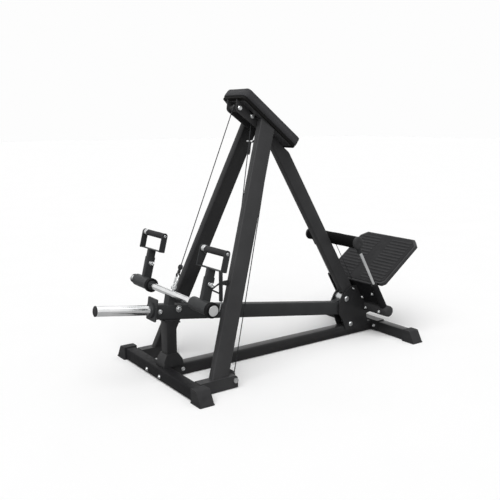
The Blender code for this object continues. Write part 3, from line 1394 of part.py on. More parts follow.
def make_latch():
    """Swinging hook in front of the near leg: a bar, a boss round the pin and a pull loop."""
    pin = latch_pin()
    add_base("latch_axis", pin, "machine")
    low, high = pin.x - LATCH_THICK / 2, pin.x + LATCH_THICK / 2
    rear = pin.y - LATCH_BAR_AHEAD + LATCH_BAR_DEPTH / 2
    front = rear - LATCH_BAR_DEPTH
    foot, top = pin.z - LATCH_BELOW, pin.z + LATCH_ABOVE
    bar = prism(fillet([(front, foot, BITE), (rear, foot, BITE), (rear, top, BITE),
                        (front, top, BITE)]), low, high)
    boss = rod((low, pin.y, pin.z), (high, pin.y, pin.z), LATCH_EAR)
    half = LATCH_WEB_HALF
    bridge = prism([(rear - BITE, pin.z - half), (pin.y, pin.z - half), (pin.y, pin.z + half),
                    (rear - BITE, pin.z + half)], low + LATCH_WEB_INSET, high - LATCH_WEB_INSET)
    apex = Vector((pin.x, front - LATCH_LOOP, pin.z - LATCH_LOOP_DROP))
    loops = []
    for end in (1, -1):
        joint = Vector((pin.x, front + BITE, apex.z + end * LATCH_LOOP_SPREAD))
        loops.append(rod(joint, apex - Y_AXIS * BITE, LATCH_WIRE, FEW_SIDES))
    bore = rod((low - PAST, pin.y, pin.z), (high + PAST, pin.y, pin.z),
               LATCH_PIN_RADIUS + RUN, FEW_SIDES)
    bm = cut(fuse(bar, boss, bridge, *loops), bore)
    add_piece("latch", bm, "lever", "latch_axis")


def machine_middle():
    """Y halfway between the horn's tip and the footplate's top edge."""
    tip = lever_point(LEVER_LENGTH + STOP_THICK + 3 * FIT + HORN_LENGTH + HORN_CAP_THICK,
                      HORN_RISE - LEVER_DROP - HORN_RADIUS + HORN_CAP_BEVEL)
    edge = step_point(STEP_LENGTH, -STEP_THICK)
    return (tip.y + edge.y) / 2


def main():
    clear_scene()
    machine = add_base("machine", (0, 0, 0))
    make_foot("front_foot", 0.0, FRONT_SPAN)
    make_foot("rear_foot", FEET_APART, REAR_SPAN)
    make_caps("front", 0.0, FRONT_SPAN)
    make_caps("rear", FEET_APART, REAR_SPAN)
    make_base_beam()
    make_stubs()
    make_post()
    make_legs()
    make_rear_leg()
    make_head()
    make_pad()
    make_pivot_plates()
    make_guides()
    make_footplate()
    make_roller_carriage()
    make_lever()
    make_horn()
    make_cross_tube()
    make_handles()
    make_cable()
    make_anchor()
    make_front_run()
    make_foot_pulley()
    make_latch()
    machine.location = (0, -machine_middle(), 0)


main()
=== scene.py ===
import json
import math
import bpy
import numpy as np
from mathutils import Matrix, Vector
from mathutils.bvhtree import BVHTree


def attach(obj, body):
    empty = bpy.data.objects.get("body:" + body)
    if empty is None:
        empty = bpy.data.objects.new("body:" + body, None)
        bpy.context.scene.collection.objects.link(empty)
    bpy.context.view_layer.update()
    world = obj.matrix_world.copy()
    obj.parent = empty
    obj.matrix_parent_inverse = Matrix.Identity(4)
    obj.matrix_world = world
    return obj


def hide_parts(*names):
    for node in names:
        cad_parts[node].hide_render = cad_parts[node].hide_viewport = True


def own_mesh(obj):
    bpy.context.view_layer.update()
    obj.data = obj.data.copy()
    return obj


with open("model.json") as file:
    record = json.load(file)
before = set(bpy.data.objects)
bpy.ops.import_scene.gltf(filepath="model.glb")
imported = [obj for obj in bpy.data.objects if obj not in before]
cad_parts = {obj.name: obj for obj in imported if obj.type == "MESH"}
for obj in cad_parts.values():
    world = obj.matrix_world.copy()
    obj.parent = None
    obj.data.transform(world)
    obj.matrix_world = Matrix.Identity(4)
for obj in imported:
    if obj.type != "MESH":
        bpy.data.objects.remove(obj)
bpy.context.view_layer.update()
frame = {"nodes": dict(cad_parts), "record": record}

nodes = frame["nodes"]
record = frame["record"]
print("stage: frame loaded")

# Directions and places repeated from the CAD source, metres in the row frame
middle = 0.6776  # from the floor frame's front face to the row frame's origin


def place(x, y, z):
    # a point measured from the floor frame's front face, in the row frame
    return Vector((x, y - middle, z))


padSlope = math.radians(37.6)
padDown = Vector((0, math.cos(padSlope), -math.sin(padSlope)))
padOut = Vector((0, math.sin(padSlope), math.cos(padSlope)))
padCorner = place(0, 0.4664, 1.3944)
guideLean = math.radians(30.6)
guideUp = Vector((0, -math.sin(guideLean), math.cos(guideLean)))
guideBack = Vector((0, math.cos(guideLean), math.sin(guideLean)))
guideTop = place(0, 1.331, 0.342)
stepSlope = math.radians(36.53)
stepOut = Vector((0, -math.sin(stepSlope), math.cos(stepSlope)))
leverTilt = math.radians(8.2)
leverAhead = Vector((0, -math.cos(leverTilt), math.sin(leverTilt)))
leverUp = Vector((0, math.sin(leverTilt), math.cos(leverTilt)))
sideways = Vector((1, 0, 0))
upward = Vector((0, 0, 1))
forward = Vector((0, -1, 0))


# Nodes and materials

def linear(code):
    # sRGB hex to a linear colour
    values = [int(code[k:k + 2], 16) / 255 for k in (0, 2, 4)]
    return [v / 12.92 if v <= 0.04045 else ((v + 0.055) / 1.055) ** 2.4 for v in values] + [1.0]


def setInputs(tree, node, inputs):
    # links a socket where one is given, and sets a value otherwise
    for key, value in inputs.items():
        if isinstance(value, bpy.types.NodeSocket):
            tree.links.new(value, node.inputs[key])
        else:
            node.inputs[key].default_value = value


def addNode(tree, kind, inputs=None, out=0, **settings):
    # adds a node with its settings and inputs, and gives back the output that is asked for
    node = tree.nodes.new(("ShaderNode" if tree.bl_idname == "ShaderNodeTree" else "") + kind)
    for name, value in settings.items():
        setattr(node, name, value)
    setInputs(tree, node, inputs or {})
    return node.outputs[out] if node.outputs else node


def startMaterial(name):
    material = bpy.data.materials.new(name)
    material.use_nodes = True
    tree = material.node_tree
    return material, tree, tree.nodes["Principled BSDF"], addNode(tree, "TexCoord", out="Object")


noiseRange = {"From Min": 0.3, "From Max": 0.7}  # a noise keeps mostly between these


def toRange(span):
    # what a MapRange node gives at the two ends
    return {"To Min": span[0], "To Max": span[1]}


def coatedMaterial(spec):
    # oven-cured powder coat: fine orange-peel grain, small changes of tone and sheen
    material, tree, shader, coords = startMaterial(spec["name"])
    patches = addNode(tree, "TexNoise", {"Vector": coords, "Scale": 1 / spec["patch"],
                                         "Detail": 3.0})
    tone = addNode(tree, "MapRange", {"Value": patches, **noiseRange})
    coat = addNode(tree, "Mix", {0: tone, 6: linear(spec["dark"]), 7: linear(spec["light"])}, 2,
                   data_type="RGBA")
    grain = addNode(tree, "TexNoise", {"Vector": coords, "Scale": 1 / spec["grain"],
                                       "Roughness": 0.6})
    flecks = addNode(tree, "MapRange", {"Value": grain, "From Min": 0.45, "From Max": 0.75,
                                        "To Max": spec["fleck"]})
    coat = addNode(tree, "Mix", {0: flecks, 6: coat, 7: linear(spec["speck"])}, 2,
                   data_type="RGBA")
    clouds = addNode(tree, "TexNoise", {"Vector": coords, "Scale": 3 / spec["patch"]})
    sheen = addNode(tree, "MapRange", {"Value": clouds, **noiseRange,
                                       **toRange(spec["roughness"])})
    peel = addNode(tree, "TexNoise", {"Vector": coords, "Scale": 0.25 / spec["grain"]})
    soft = addNode(tree, "Bump", {"Height": peel, "Strength": 0.25,
                                  "Distance": spec["grain"] * 0.5})
    bump = addNode(tree, "Bump", {"Height": grain, "Strength": spec["bump"],
                                  "Distance": spec["grain"] * 0.3, "Normal": soft})
    setInputs(tree, shader, {"Base Color": coat, "Roughness": sheen, "Normal": bump,
                             "Specular IOR Level": spec["shine"]})
    return material


def mouldedMaterial(spec):
    # moulded rubber and nylon: matt skin with a fine even grain and faint mould marks
    material, tree, shader, coords = startMaterial(spec["name"])
    patches = addNode(tree, "TexNoise", {"Vector": coords, "Scale": 1 / spec["patch"],
                                         "Detail": 3.0})
    tone = addNode(tree, "MapRange", {"Value": patches, **noiseRange})
    skin = addNode(tree, "Mix", {0: tone, 6: linear(spec["dark"]), 7: linear(spec["light"])}, 2,
                   data_type="RGBA")
    marks = addNode(tree, "TexNoise", {"Vector": coords, "Scale": 4 / spec["patch"]})
    sheen = addNode(tree, "MapRange", {"Value": marks, **noiseRange,
                                       **toRange(spec["roughness"])})
    grain = addNode(tree, "TexNoise", {"Vector": coords, "Scale": 1 / spec["grain"],
                                       "Detail": 3.0, "Roughness": 0.65})
    bump = addNode(tree, "Bump", {"Height": grain, "Strength": spec["bump"],
                                  "Distance": spec["grain"] * 0.4})
    setInputs(tree, shader, {"Base Color": skin, "Roughness": sheen, "Normal": bump,
                             "Specular IOR Level": spec["shine"]})
    return material


def treadMaterial(spec):
    # moulded mat whose rib tops are painted paler, as a highlight where light falls on them,
    # mottled by scuffs; the height over the tray picks them out
    material = mouldedMaterial(spec)
    tree = material.node_tree
    shader = tree.nodes["Principled BSDF"]
    coords = addNode(tree, "TexCoord", out="Object")
    tray = (guideTop + guideUp * spec["trayUp"] + guideBack * spec["trayBack"]).dot(stepOut)
    level = addNode(tree, "VectorMath", {0: coords, 1: tuple(stepOut)}, "Value",
                    operation="DOT_PRODUCT")
    ribs = addNode(tree, "MapRange", {"Value": level, "From Min": tray + spec["ribs"][0],
                                      "From Max": tray + spec["ribs"][1]})
    scuffs = addNode(tree, "TexNoise", {"Vector": coords, "Scale": 1 / spec["scuff"],
                                        "Detail": 3.0})
    worn = addNode(tree, "MapRange", {"Value": scuffs, **noiseRange, **toRange((0.6, 1.0))})
    # painted highlight on the rib tops, varied by scuff wear
    litScuffedTops = addNode(tree, "Math", {0: ribs, 1: worn}, operation="MULTIPLY")
    skin = shader.inputs["Base Color"].links[0].from_socket
    skin = addNode(tree, "Mix", {0: litScuffedTops, 6: skin, 7: linear(spec["rib"])}, 2, data_type="RGBA")
    setInputs(tree, shader, {"Base Color": skin})
    return material


def foamMaterial(spec):
    # closed-cell foam: small open pits of the cut cells, darkened as painted shade, over a soft
    # mottled black
    material, tree, shader, coords = startMaterial(spec["name"])
    cells = addNode(tree, "TexVoronoi", {"Vector": coords, "Scale": 1 / spec["cell"]},
                    "Distance", feature="F1")
    # painted shade: the pits, low in the bump, are darker
    pits = addNode(tree, "MapRange", {"Value": cells, "From Min": 0.1, "From Max": 0.55})
    foam = addNode(tree, "Mix", {0: pits, 6: linear(spec["dark"]), 7: linear(spec["light"])}, 2,
                   data_type="RGBA")
    lumps = addNode(tree, "TexNoise", {"Vector": coords, "Scale": 1 / (spec["cell"] * 12)})
    soft = addNode(tree, "Bump", {"Height": lumps, "Strength": 0.3, "Distance": spec["cell"]})
    bump = addNode(tree, "Bump", {"Height": pits, "Strength": spec["bump"],
                                  "Distance": spec["cell"] * 0.4, "Normal": soft})
    setInputs(tree, shader, {"Base Color": foam, "Roughness": spec["roughness"],
                             "Normal": bump, "Specular IOR Level": spec["shine"]})
    return material


def leatherMaterial(spec):
    # coated upholstery: pebbled grain of bent cells, with soft creases
    material, tree, shader, coords = startMaterial(spec["name"])
    warp = addNode(tree, "TexNoise", {"Vector": coords, "Scale": 1 / (spec["cell"] * 3)}, "Color")
    bend = addNode(tree, "VectorMath", {0: warp, 1: (0.5, 0.5, 0.5)}, operation="SUBTRACT")
    bend = addNode(tree, "VectorMath", {0: bend, "Scale": spec["cell"] * 1.5}, operation="SCALE")
    bent = addNode(tree, "VectorMath", {0: coords, 1: bend}, operation="ADD")
    cells = addNode(tree, "TexVoronoi", {"Vector": bent, "Scale": 1 / spec["cell"]}, "Distance",
                    feature="DISTANCE_TO_EDGE")
    pebbles = addNode(tree, "MapRange", {"Value": cells, "From Min": 0.0, "From Max": 0.22})
    patches = addNode(tree, "TexNoise", {"Vector": coords, "Scale": 1 / spec["patch"],
                                         "Detail": 3.0})
    tone = addNode(tree, "MapRange", {"Value": patches, **noiseRange})
    hide = addNode(tree, "Mix", {0: tone, 6: linear(spec["dark"]), 7: linear(spec["light"])}, 2,
                   data_type="RGBA")
    # painted shade: the crevices between the pebbles, where the bump is lowest, are darkened
    creviceShade = addNode(tree, "MapRange", {"Value": pebbles, **toRange((0.6, 0.0))})
    hide = addNode(tree, "Mix", {0: creviceShade, 6: hide, 7: linear(spec["seam"])}, 2,
                   data_type="RGBA")
    sheen = addNode(tree, "MapRange", {"Value": patches, **noiseRange,
                                       **toRange(spec["roughness"])})
    drawn = addNode(tree, "Mapping", {"Vector": coords, "Scale": (1.0, 2.2, 1.0)})
    creases = addNode(tree, "TexNoise", {"Vector": drawn, "Scale": 1 / spec["crease"],
                                         "Detail": 3.0, "Roughness": 0.6})
    soft = addNode(tree, "Bump", {"Height": creases, "Strength": 0.18,
                                  "Distance": spec["creaseDepth"]})
    bump = addNode(tree, "Bump", {"Height": pebbles, "Strength": spec["bump"],
                                  "Distance": spec["cell"] * 0.25, "Normal": soft})
    setInputs(tree, shader, {"Base Color": hide, "Roughness": sheen, "Normal": bump,
                             "Specular IOR Level": spec["shine"]})
    return material


def metalMaterial(spec):
    # plated or zinced steel: drawn scratches along one axis and cloudy sheen
    material, tree, shader, coords = startMaterial(spec["name"])
    clouds = addNode(tree, "TexNoise", {"Vector": coords, "Scale": 1 / spec["patch"],
                                        "Detail": 3.0})
    tone = addNode(tree, "MapRange", {"Value": clouds, **noiseRange})
    plate = addNode(tree, "Mix", {0: tone, 6: linear(spec["dark"]), 7: linear(spec["light"])}, 2,
                    data_type="RGBA")
    drawn = addNode(tree, "Mapping", {"Vector": coords, "Scale": spec["along"]})
    lines = addNode(tree, "TexNoise", {"Vector": drawn, "Scale": 1 / spec["line"],
                                       "Detail": 3.0, "Roughness": 0.6})
    both = addNode(tree, "Math", {0: clouds, 1: lines}, operation="MULTIPLY")
    sheen = addNode(tree, "MapRange", {"Value": both, "From Min": 0.12, "From Max": 0.4,
                                       **toRange(spec["roughness"])})
    bump = addNode(tree, "Bump", {"Height": lines, "Strength": spec["bump"],
                                  "Distance": spec["depth"]})
    setInputs(tree, shader, {"Base Color": plate, "Metallic": 1.0, "Roughness": sheen,
                             "Normal": bump})
    return material


def woodMaterial(spec):
    # stained plywood edge: thin plies across the thickness
    material, tree, shader, coords = startMaterial(spec["name"])
    turned = addNode(tree, "Mapping", {"Vector": coords, "Rotation": (padSlope, 0, 0)},
                     vector_type="POINT")
    plies = addNode(tree, "TexWave", {"Vector": turned, "Scale": spec["plies"],
                                      "Distortion": 0.6, "Detail": 2.0}, "Fac",
                    bands_direction="Z")
    drawn = addNode(tree, "Mapping", {"Vector": turned, "Scale": (0.08, 0.3, 1.0)})
    fibre = addNode(tree, "TexNoise", {"Vector": drawn, "Scale": 1 / spec["fibre"],
                                       "Detail": 3.0, "Roughness": 0.6})
    tone = addNode(tree, "MapRange", {"Value": plies, "From Min": 0.2, "From Max": 0.8})
    stain = addNode(tree, "Mix", {0: tone, 6: linear(spec["dark"]), 7: linear(spec["light"])}, 2,
                    data_type="RGBA")
    sheen = addNode(tree, "MapRange", {"Value": fibre, **noiseRange,
                                       **toRange(spec["roughness"])})
    bump = addNode(tree, "Bump", {"Height": fibre, "Strength": 0.3, "Distance": spec["depth"]})
    setInputs(tree, shader, {"Base Color": stain, "Roughness": sheen, "Normal": bump,
                             "Specular IOR Level": spec["shine"]})
    return material


# Powder coat on the welded tubes: satin dark grey with a faint orange peel, whose grains of
# 0.3 to 0.5 mm are drawn coarser so that they still show
frameCoat = coatedMaterial({"name": "frameCoat", "dark": "373738", "light": "3e3e3f",
                            "speck": "4a4a4b", "fleck": 0.5, "patch": 0.12, "grain": 0.0012,
                            "roughness": (0.36, 0.48), "bump": 0.35, "shine": 0.14})
# The same coat on the lever and its handles: finer grain, a little darker
leverCoat = coatedMaterial({"name": "leverCoat", "dark": "333435", "light": "393a3b",
                            "speck": "404041", "fleck": 0.4, "patch": 0.10, "grain": 0.0010,
                            "roughness": (0.34, 0.46), "bump": 0.30, "shine": 0.14})
# Matt coat painted deep black as shade, for the carrier plate, the guide sleeves and the front
# foot, which stand in shadow
paintedShadeCoat = coatedMaterial({"name": "paintedShadeCoat", "dark": "18181a", "light": "1e1e1f",
                            "speck": "2a2a2b", "fleck": 0.4, "patch": 0.10, "grain": 0.0012,
                            "roughness": (0.44, 0.56), "bump": 0.35, "shine": 0.08})
# Glossier coat painted darker as shade, for the rear foot, the beam, the post, the far leg and the
# pivot plates; the gloss is the coat's own
shadedGlossCoat = coatedMaterial({"name": "shadedGlossCoat", "dark": "252526", "light": "2b2b2c",
                           "speck": "39393a", "fleck": 0.45, "patch": 0.12, "grain": 0.0012,
                           "roughness": (0.30, 0.40), "bump": 0.35, "shine": 0.25})
# Moulded rubber of the caps and covers: dull dark grey without a glint
blackRubber = mouldedMaterial({"name": "blackRubber", "dark": "323233", "light": "3b3b3c",
                               "patch": 0.05, "grain": 0.0014, "roughness": (0.62, 0.80),
                               "bump": 0.35, "shine": 0.10})
# Soft rubber of the sleeve rings: nearly black, which sets them off from the coat
ringRubber = mouldedMaterial({"name": "ringRubber", "dark": "0e0e0f", "light": "151516",
                              "patch": 0.04, "grain": 0.0012, "roughness": (0.55, 0.72),
                              "bump": 0.30, "shine": 0.10})
# Moulded nylon: smoother than rubber, with a soft gloss along its edges
blackNylon = mouldedMaterial({"name": "blackNylon", "dark": "29292a", "light": "323233",
                              "patch": 0.03, "grain": 0.0008, "roughness": (0.40, 0.55),
                              "bump": 0.20, "shine": 0.3})
# Coated cloth of the pad: dark grey pebbles 2.8 mm wide, with painted shade in the fine crevices
# between them
padLeather = leatherMaterial({"name": "padLeather", "dark": "48484a", "light": "505052",
                              "seam": "1a1a1a", "cell": 0.0028, "patch": 0.09, "crease": 0.03,
                              "creaseDepth": 0.002, "roughness": (0.54, 0.66), "bump": 0.40,
                              "shine": 0.08})
# Cut foam of the roller: the darkest surface, with no gloss
rollerFoam = foamMaterial({"name": "rollerFoam", "dark": "080808", "light": "131313",
                           "cell": 0.0022, "roughness": 0.85, "bump": 0.55, "shine": 0.05})
# Black-stained plywood of the pad's board: faint plies along its edge
boardWood = woodMaterial({"name": "boardWood", "dark": "101010", "light": "191817",
                          "plies": 60.0, "fibre": 0.002, "depth": 0.0003,
                          "roughness": (0.62, 0.80), "shine": 0.1})
# Rubber of the step's mat: dark between its ribs, with paler tops that are painted highlight,
# scuffed in patches
treadRubber = treadMaterial({"name": "treadRubber", "dark": "29292a", "light": "303031",
                             "rib": "3a3a3b", "ribs": (0.0036, 0.0046), "trayUp": -0.0088,
                             "trayBack": 0.0042, "scuff": 0.008, "patch": 0.06,
                             "grain": 0.0016, "bump": 0.45, "roughness": (0.58, 0.76),
                             "shine": 0.1})
# Hard chrome on steel tube: a nearly white mirror with fine drawn lines
brightChrome = metalMaterial({"name": "brightChrome", "dark": "dadcdd", "light": "ececec",
                              "patch": 0.06, "line": 0.002, "along": (0.15, 1.0, 1.0),
                              "roughness": (0.10, 0.24), "bump": 0.10, "depth": 0.0001})
# Zinc-plated steel of bolts, knobs and hooks: pale grey with a cloudy brushed sheen
zincSteel = metalMaterial({"name": "zincSteel", "dark": "bcbebf", "light": "d6d7d7",
                           "patch": 0.02, "line": 0.0012, "along": (1.0, 1.0, 0.3),
                           "roughness": (0.22, 0.40), "bump": 0.25, "depth": 0.0001})
# Greased steel rope of the cable: dark, with dull glints on its strands
cableSteel = metalMaterial({"name": "cableSteel", "dark": "1f2021", "light": "3c3d3e",
                            "patch": 0.03, "line": 0.002, "along": (1.0, 1.0, 1.0),
                            "roughness": (0.38, 0.55), "bump": 0.2, "depth": 0.0001})
slotMaterials = {"frame_paint": frameCoat, "lever_paint": leverCoat, "rubber": blackRubber,
                 "tread_rubber": treadRubber, "foam": rollerFoam, "upholstery": padLeather,
                 "board": boardWood, "chrome": brightChrome, "steel": zincSteel,
                 "nylon": blackNylon}
for part in record["subparts"]:
    for holder in nodes[part["node"]].material_slots:
        holder.material = slotMaterials[part["material_slot"]]
# parts that stand in shadow get coats painted darker as shade
paintedShadeParts = {"carrier_plate": paintedShadeCoat, "guide_sleeve_near": paintedShadeCoat,
          "guide_sleeve_far": paintedShadeCoat, "front_foot": paintedShadeCoat, "rear_foot": shadedGlossCoat,
          "leg_far": shadedGlossCoat, "base_beam": shadedGlossCoat, "pivot_plate_near": shadedGlossCoat,
          "pivot_plate_far": shadedGlossCoat, "post": shadedGlossCoat}
for name, coat in paintedShadeParts.items():
    for holder in nodes[name].material_slots:
        holder.material = coat
print("stage: materials on the CAD nodes")


# Edges of the CAD nodes: bevel width by slot, and the angle from which an edge counts as sharp
edgeSpec = {"rubber": 0.0014, "frame_paint": 0.0009, "lever_paint": 0.0009, "board": 0.0008}
edgeOthers, weldGap, sharpFrom = 0.0005, 0.00002, math.radians(38)


def weldGroup():
    # CAD faces come apart and flat: joined again, and smooth where they aren't sharp
    group = bpy.data.node_groups.new("weldAndSmooth", "GeometryNodeTree")
    group.interface.new_socket("Geometry", in_out="INPUT", socket_type="NodeSocketGeometry")
    group.interface.new_socket("Geometry", in_out="OUTPUT", socket_type="NodeSocketGeometry")
    start = addNode(group, "NodeGroupInput")
    weld = addNode(group, "GeometryNodeMergeByDistance", {"Geometry": start, "Distance": weldGap})
    smooth = addNode(group, "GeometryNodeSetShadeSmooth", {"Geometry": weld}, domain="FACE")
    angle = addNode(group, "GeometryNodeInputMeshEdgeAngle", out="Unsigned Angle")
    sharp = addNode(group, "FunctionNodeCompare", {0: angle, 1: sharpFrom}, data_type="FLOAT",
                    operation="GREATER_THAN")
    crease = addNode(group, "GeometryNodeSetShadeSmooth",
                     {"Geometry": smooth, "Selection": sharp, "Shade Smooth": False},
                     domain="EDGE")
    addNode(group, "NodeGroupOutput", {"Geometry": crease})
    return group


def roundEdges(piece, width, group):
    # the small radius that every folded, cut or moulded edge has
    piece.modifiers.new("weld", "NODES").node_group = group
    bevel = piece.modifiers.new("edges", "BEVEL")
    bevel.width = width
    bevel.segments = 2
    bevel.limit_method = "ANGLE"
    bevel.angle_limit = sharpFrom
    bevel.harden_normals = True


welding = weldGroup()
for part in record["subparts"]:
    roundEdges(nodes[part["node"]], edgeSpec.get(part["material_slot"], edgeOthers), welding)
print("stage: edges of the CAD nodes")


# Mesh helpers

def makePiece(name, points, faces, material, body, slotName=None, sharp=40):
    mesh = bpy.data.meshes.new(name)
    mesh.from_pydata(points, [], faces)
    mesh.update()
    mesh.shade_smooth()
    mesh.set_sharp_from_angle(angle=math.radians(sharp))
    mesh.materials.append(material)
    piece = bpy.data.objects.new(name, mesh)
    bpy.context.collection.objects.link(piece)
    if body:
        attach(piece, body)
    return piece


def gridFaces(rings, sides, closed=False, ends=False):
    # quads between neighbouring rings: corner j of ring i, then j + 1, both on the next ring,
    # wound so that a ring turned to the left faces outward
    i, j = np.meshgrid(np.arange(rings if closed else rings - 1), np.arange(sides), indexing="ij")
    one, two, ahead = i * sides, (i + 1) % rings * sides, (j + 1) % sides
    faces = np.stack([one + j, one + ahead, two + ahead, two + j], -1).reshape(-1, 4).tolist()
    if ends:
        faces += [list(range(sides))[::-1], list(range((rings - 1) * sides, rings * sides))]
    return faces


def circle(sides):
    # the turns a = 2 pi k / sides of a ring's points
    return 2 * np.pi * np.arange(sides) / sides


def unit(rows):
    # each row divided by its own length
    return rows / np.linalg.norm(rows, axis=1, keepdims=True)


def ringsAlong(centres, runs, hint, radius, turns):
    # every centre p gets the ring p + r cos a side + r sin a across; side is the hint made
    # square to the run there, and across is the run crossed with it
    runs = unit(runs)
    side = unit(np.array(hint) - runs * (runs @ np.array(hint))[:, None])
    across = np.cross(runs, side)
    grid = (centres[:, None] + side[:, None] * (radius * np.cos(turns))[..., None]
            + across[:, None] * (radius * np.sin(turns))[..., None])
    return grid.reshape(-1, 3)


def turnedShape(profile, origin, axis, sides=32, closed=False):
    # a profile point of radius r and height h goes to r cos a, r sin a and h about the axis;
    # one on the axis is a pole, a single point where the faces meet as a fan
    radius, height = np.array(profile).T
    axis = Vector(axis).normalized()
    start = (upward if abs(axis.z) < 0.9 else forward).cross(axis)
    runs = np.tile(np.array(axis), (len(radius), 1))
    points = ringsAlong(np.array(origin) + runs * height[:, None], runs, start,
                        radius[:, None], circle(sides))
    number = np.arange(len(points)).reshape(-1, sides)
    number[radius < 1e-6] = number[radius < 1e-6, :1]
    kept, number = np.unique(number, return_inverse=True)
    faces = number.ravel()[np.array(gridFaces(len(radius), sides, closed))].tolist()
    return points[kept], [list(dict.fromkeys(face)) for face in faces]


def loopShape(path, radius, sides, hint):
    # round cord along a closed path; a ring's run is from the point before to the one after
    runs = np.roll(path, -1, axis=0) - np.roll(path, 1, axis=0)
    return (ringsAlong(path, runs, hint, radius, circle(sides)),
            gridFaces(len(path), sides, closed=True))


def merged(*shapes):
    # several shapes as one: the faces of each count on from the points before it
    faces, base = [], 0
    for points, group in shapes:
        faces += [[k + base for k in face] for face in group]
        base += len(points)
    return np.vstack([points for points, _ in shapes]), faces


def arcCorners(halfX, halfY, radius, steps):
    # rounded rectangle: four quarter circles r cos a, r sin a about points r inside its corners
    turn = np.radians(90 * np.arange(4)[:, None] + np.linspace(0, 90, steps))
    wide, tall = np.array([(1, 1), (-1, 1), (-1, -1), (1, -1)]).T[..., None]
    return np.stack([wide * (halfX - radius) + radius * np.cos(turn),
                     tall * (halfY - radius) + radius * np.sin(turn)], -1).reshape(-1, 2)


# Chest pad: a stuffed cushion swollen by cloth pressure, with a welt along its seams
padSpec = {"length": 0.426, "half": 0.103, "board": 0.0123, "foam": 0.053, "corner": 0.020,
           "tightest": 0.006, "shoulder": 0.010, "side": 0.010, "dome": 0.003, "crown": 0.097,
           "foot": ((0.006, 0.0), (0.002, 0.003)), "shrink": 0.0012, "outline": 96}
swellSpec = {"voxel": 0.004, "held": 0.004, "pressure": 4.0, "stretch": 20, "bend": 2,
             "steps": 20, "cap": 0.0022, "over": 0.002}


def padPoints(along, across, out):
    # the top corner, then down the pad, across it to the near side and out from its back;
    # in single precision, like the mesh, because the cloth's result hangs on the last digits
    points = np.array(padCorner, np.float32)
    for way, by in ((padDown, along), (sideways, across), (padOut, out)):
        points = points + np.multiply.outer(np.float32(by), np.array(way, np.float32))
    return points


def padOutline(inset, count):
    # rounded rectangle of the half sizes less the inset, read off at even steps along it
    radius = max(padSpec["corner"] - inset, padSpec["tightest"])
    dense = arcCorners(padSpec["half"] - inset, padSpec["length"] / 2 - inset, radius, 25)
    dense = np.vstack([dense, dense[:1]])
    steps = np.r_[0, np.cumsum(np.hypot(*np.diff(dense, axis=0).T))]
    wanted = np.linspace(0, steps[-1], count, endpoint=False)
    return np.stack([np.interp(wanted, steps, dense[:, k]) for k in (0, 1)], 1)


def padRings():
    # inset and height from the board up: tucked foot, straight side, quarter-round shoulder
    # 1 - cos a and sin a, and a crown that rises by a sine
    foam, shoulder = padSpec["foam"] - padSpec["shrink"], padSpec["shoulder"]
    side, dome = padSpec["side"], padSpec["dome"]
    a, share = np.linspace(0, np.pi / 2, 5), np.arange(1, 7) / 6
    footInset, footHeight = np.array(padSpec["foot"]).T
    inset = np.r_[footInset, 0, 0, shoulder * (1 - np.cos(a)),
                  shoulder + (padSpec["crown"] - shoulder) * share]
    height = np.r_[footHeight, side, foam - shoulder - side,
                   foam - dome - shoulder * (1 - np.sin(a)),
                   foam - dome + dome * np.sin(np.pi / 2 * share)]
    return inset + padSpec["shrink"], height


def padShape():
    # the outline once for every ring, inset and raised as padRings says, closed at both ends
    count = padSpec["outline"]
    insets, heights = padRings()
    outlines = np.stack([padOutline(inset, count) for inset in insets])
    points = padPoints(padSpec["length"] / 2 - outlines[..., 1], outlines[..., 0],
                       padSpec["board"] + heights[:, None])
    return points.reshape(-1, 3), gridFaces(len(insets), count, ends=True)


def applyModifiers(piece):
    # the piece's mesh becomes what its modifiers make of it
    graph = bpy.context.evaluated_depsgraph_get()
    mesh = bpy.data.meshes.new_from_object(piece.evaluated_get(graph))
    old = piece.data
    piece.modifiers.clear()
    piece.data = mesh
    bpy.data.meshes.remove(old)


def pointsOf(piece):
    points = np.empty(len(piece.data.vertices) * 3)
    piece.data.vertices.foreach_get("co", points)
    return points.reshape(-1, 3)


def swell(piece):
    # remeshed evenly, then blown up by cloth pressure without gravity, with its foot held
    remesh = piece.modifiers.new("even", "REMESH")
    remesh.mode = "VOXEL"
    remesh.voxel_size = swellSpec["voxel"]
    applyModifiers(piece)
    start = pointsOf(piece)
    height = (start - np.array(padCorner)) @ np.array(padOut) - padSpec["board"]
    held = piece.vertex_groups.new(name="held")
    held.add([int(k) for k in np.nonzero(height < swellSpec["held"])[0]], 1.0, "REPLACE")
    cloth = piece.modifiers.new("cloth", "CLOTH")
    cloth.settings.vertex_group_mass = "held"
    cloth.settings.use_pressure = True
    cloth.settings.uniform_pressure_force = swellSpec["pressure"]
    cloth.settings.effector_weights.gravity = 0
    cloth.settings.tension_stiffness = swellSpec["stretch"]
    cloth.settings.compression_stiffness = swellSpec["stretch"]
    cloth.settings.bending_stiffness = swellSpec["bend"]
    cloth.point_cache.frame_end = swellSpec["steps"]
    for step in range(1, swellSpec["steps"] + 1):
        bpy.context.scene.frame_set(step)
    applyModifiers(piece)
    bpy.context.scene.frame_set(1)
    shift = pointsOf(piece) - start
    reach = np.linalg.norm(shift, axis=1, keepdims=True)
    shift *= swellSpec["cap"] / np.maximum(reach, swellSpec["cap"])  # none goes past the cap
    return start + shift


def fitPad(points):
    # keeps the swollen cushion over its board and below its CAD height
    board = padSpec["board"]
    local = (points - np.array(padCorner)) @ np.array([padDown, sideways, padOut]).T
    low = np.array([0.0, -padSpec["half"], board])
    high = np.array([padSpec["length"], padSpec["half"],
                     board + padSpec["foam"] + swellSpec["over"]])
    return padPoints(*np.clip(local, low, high).T)


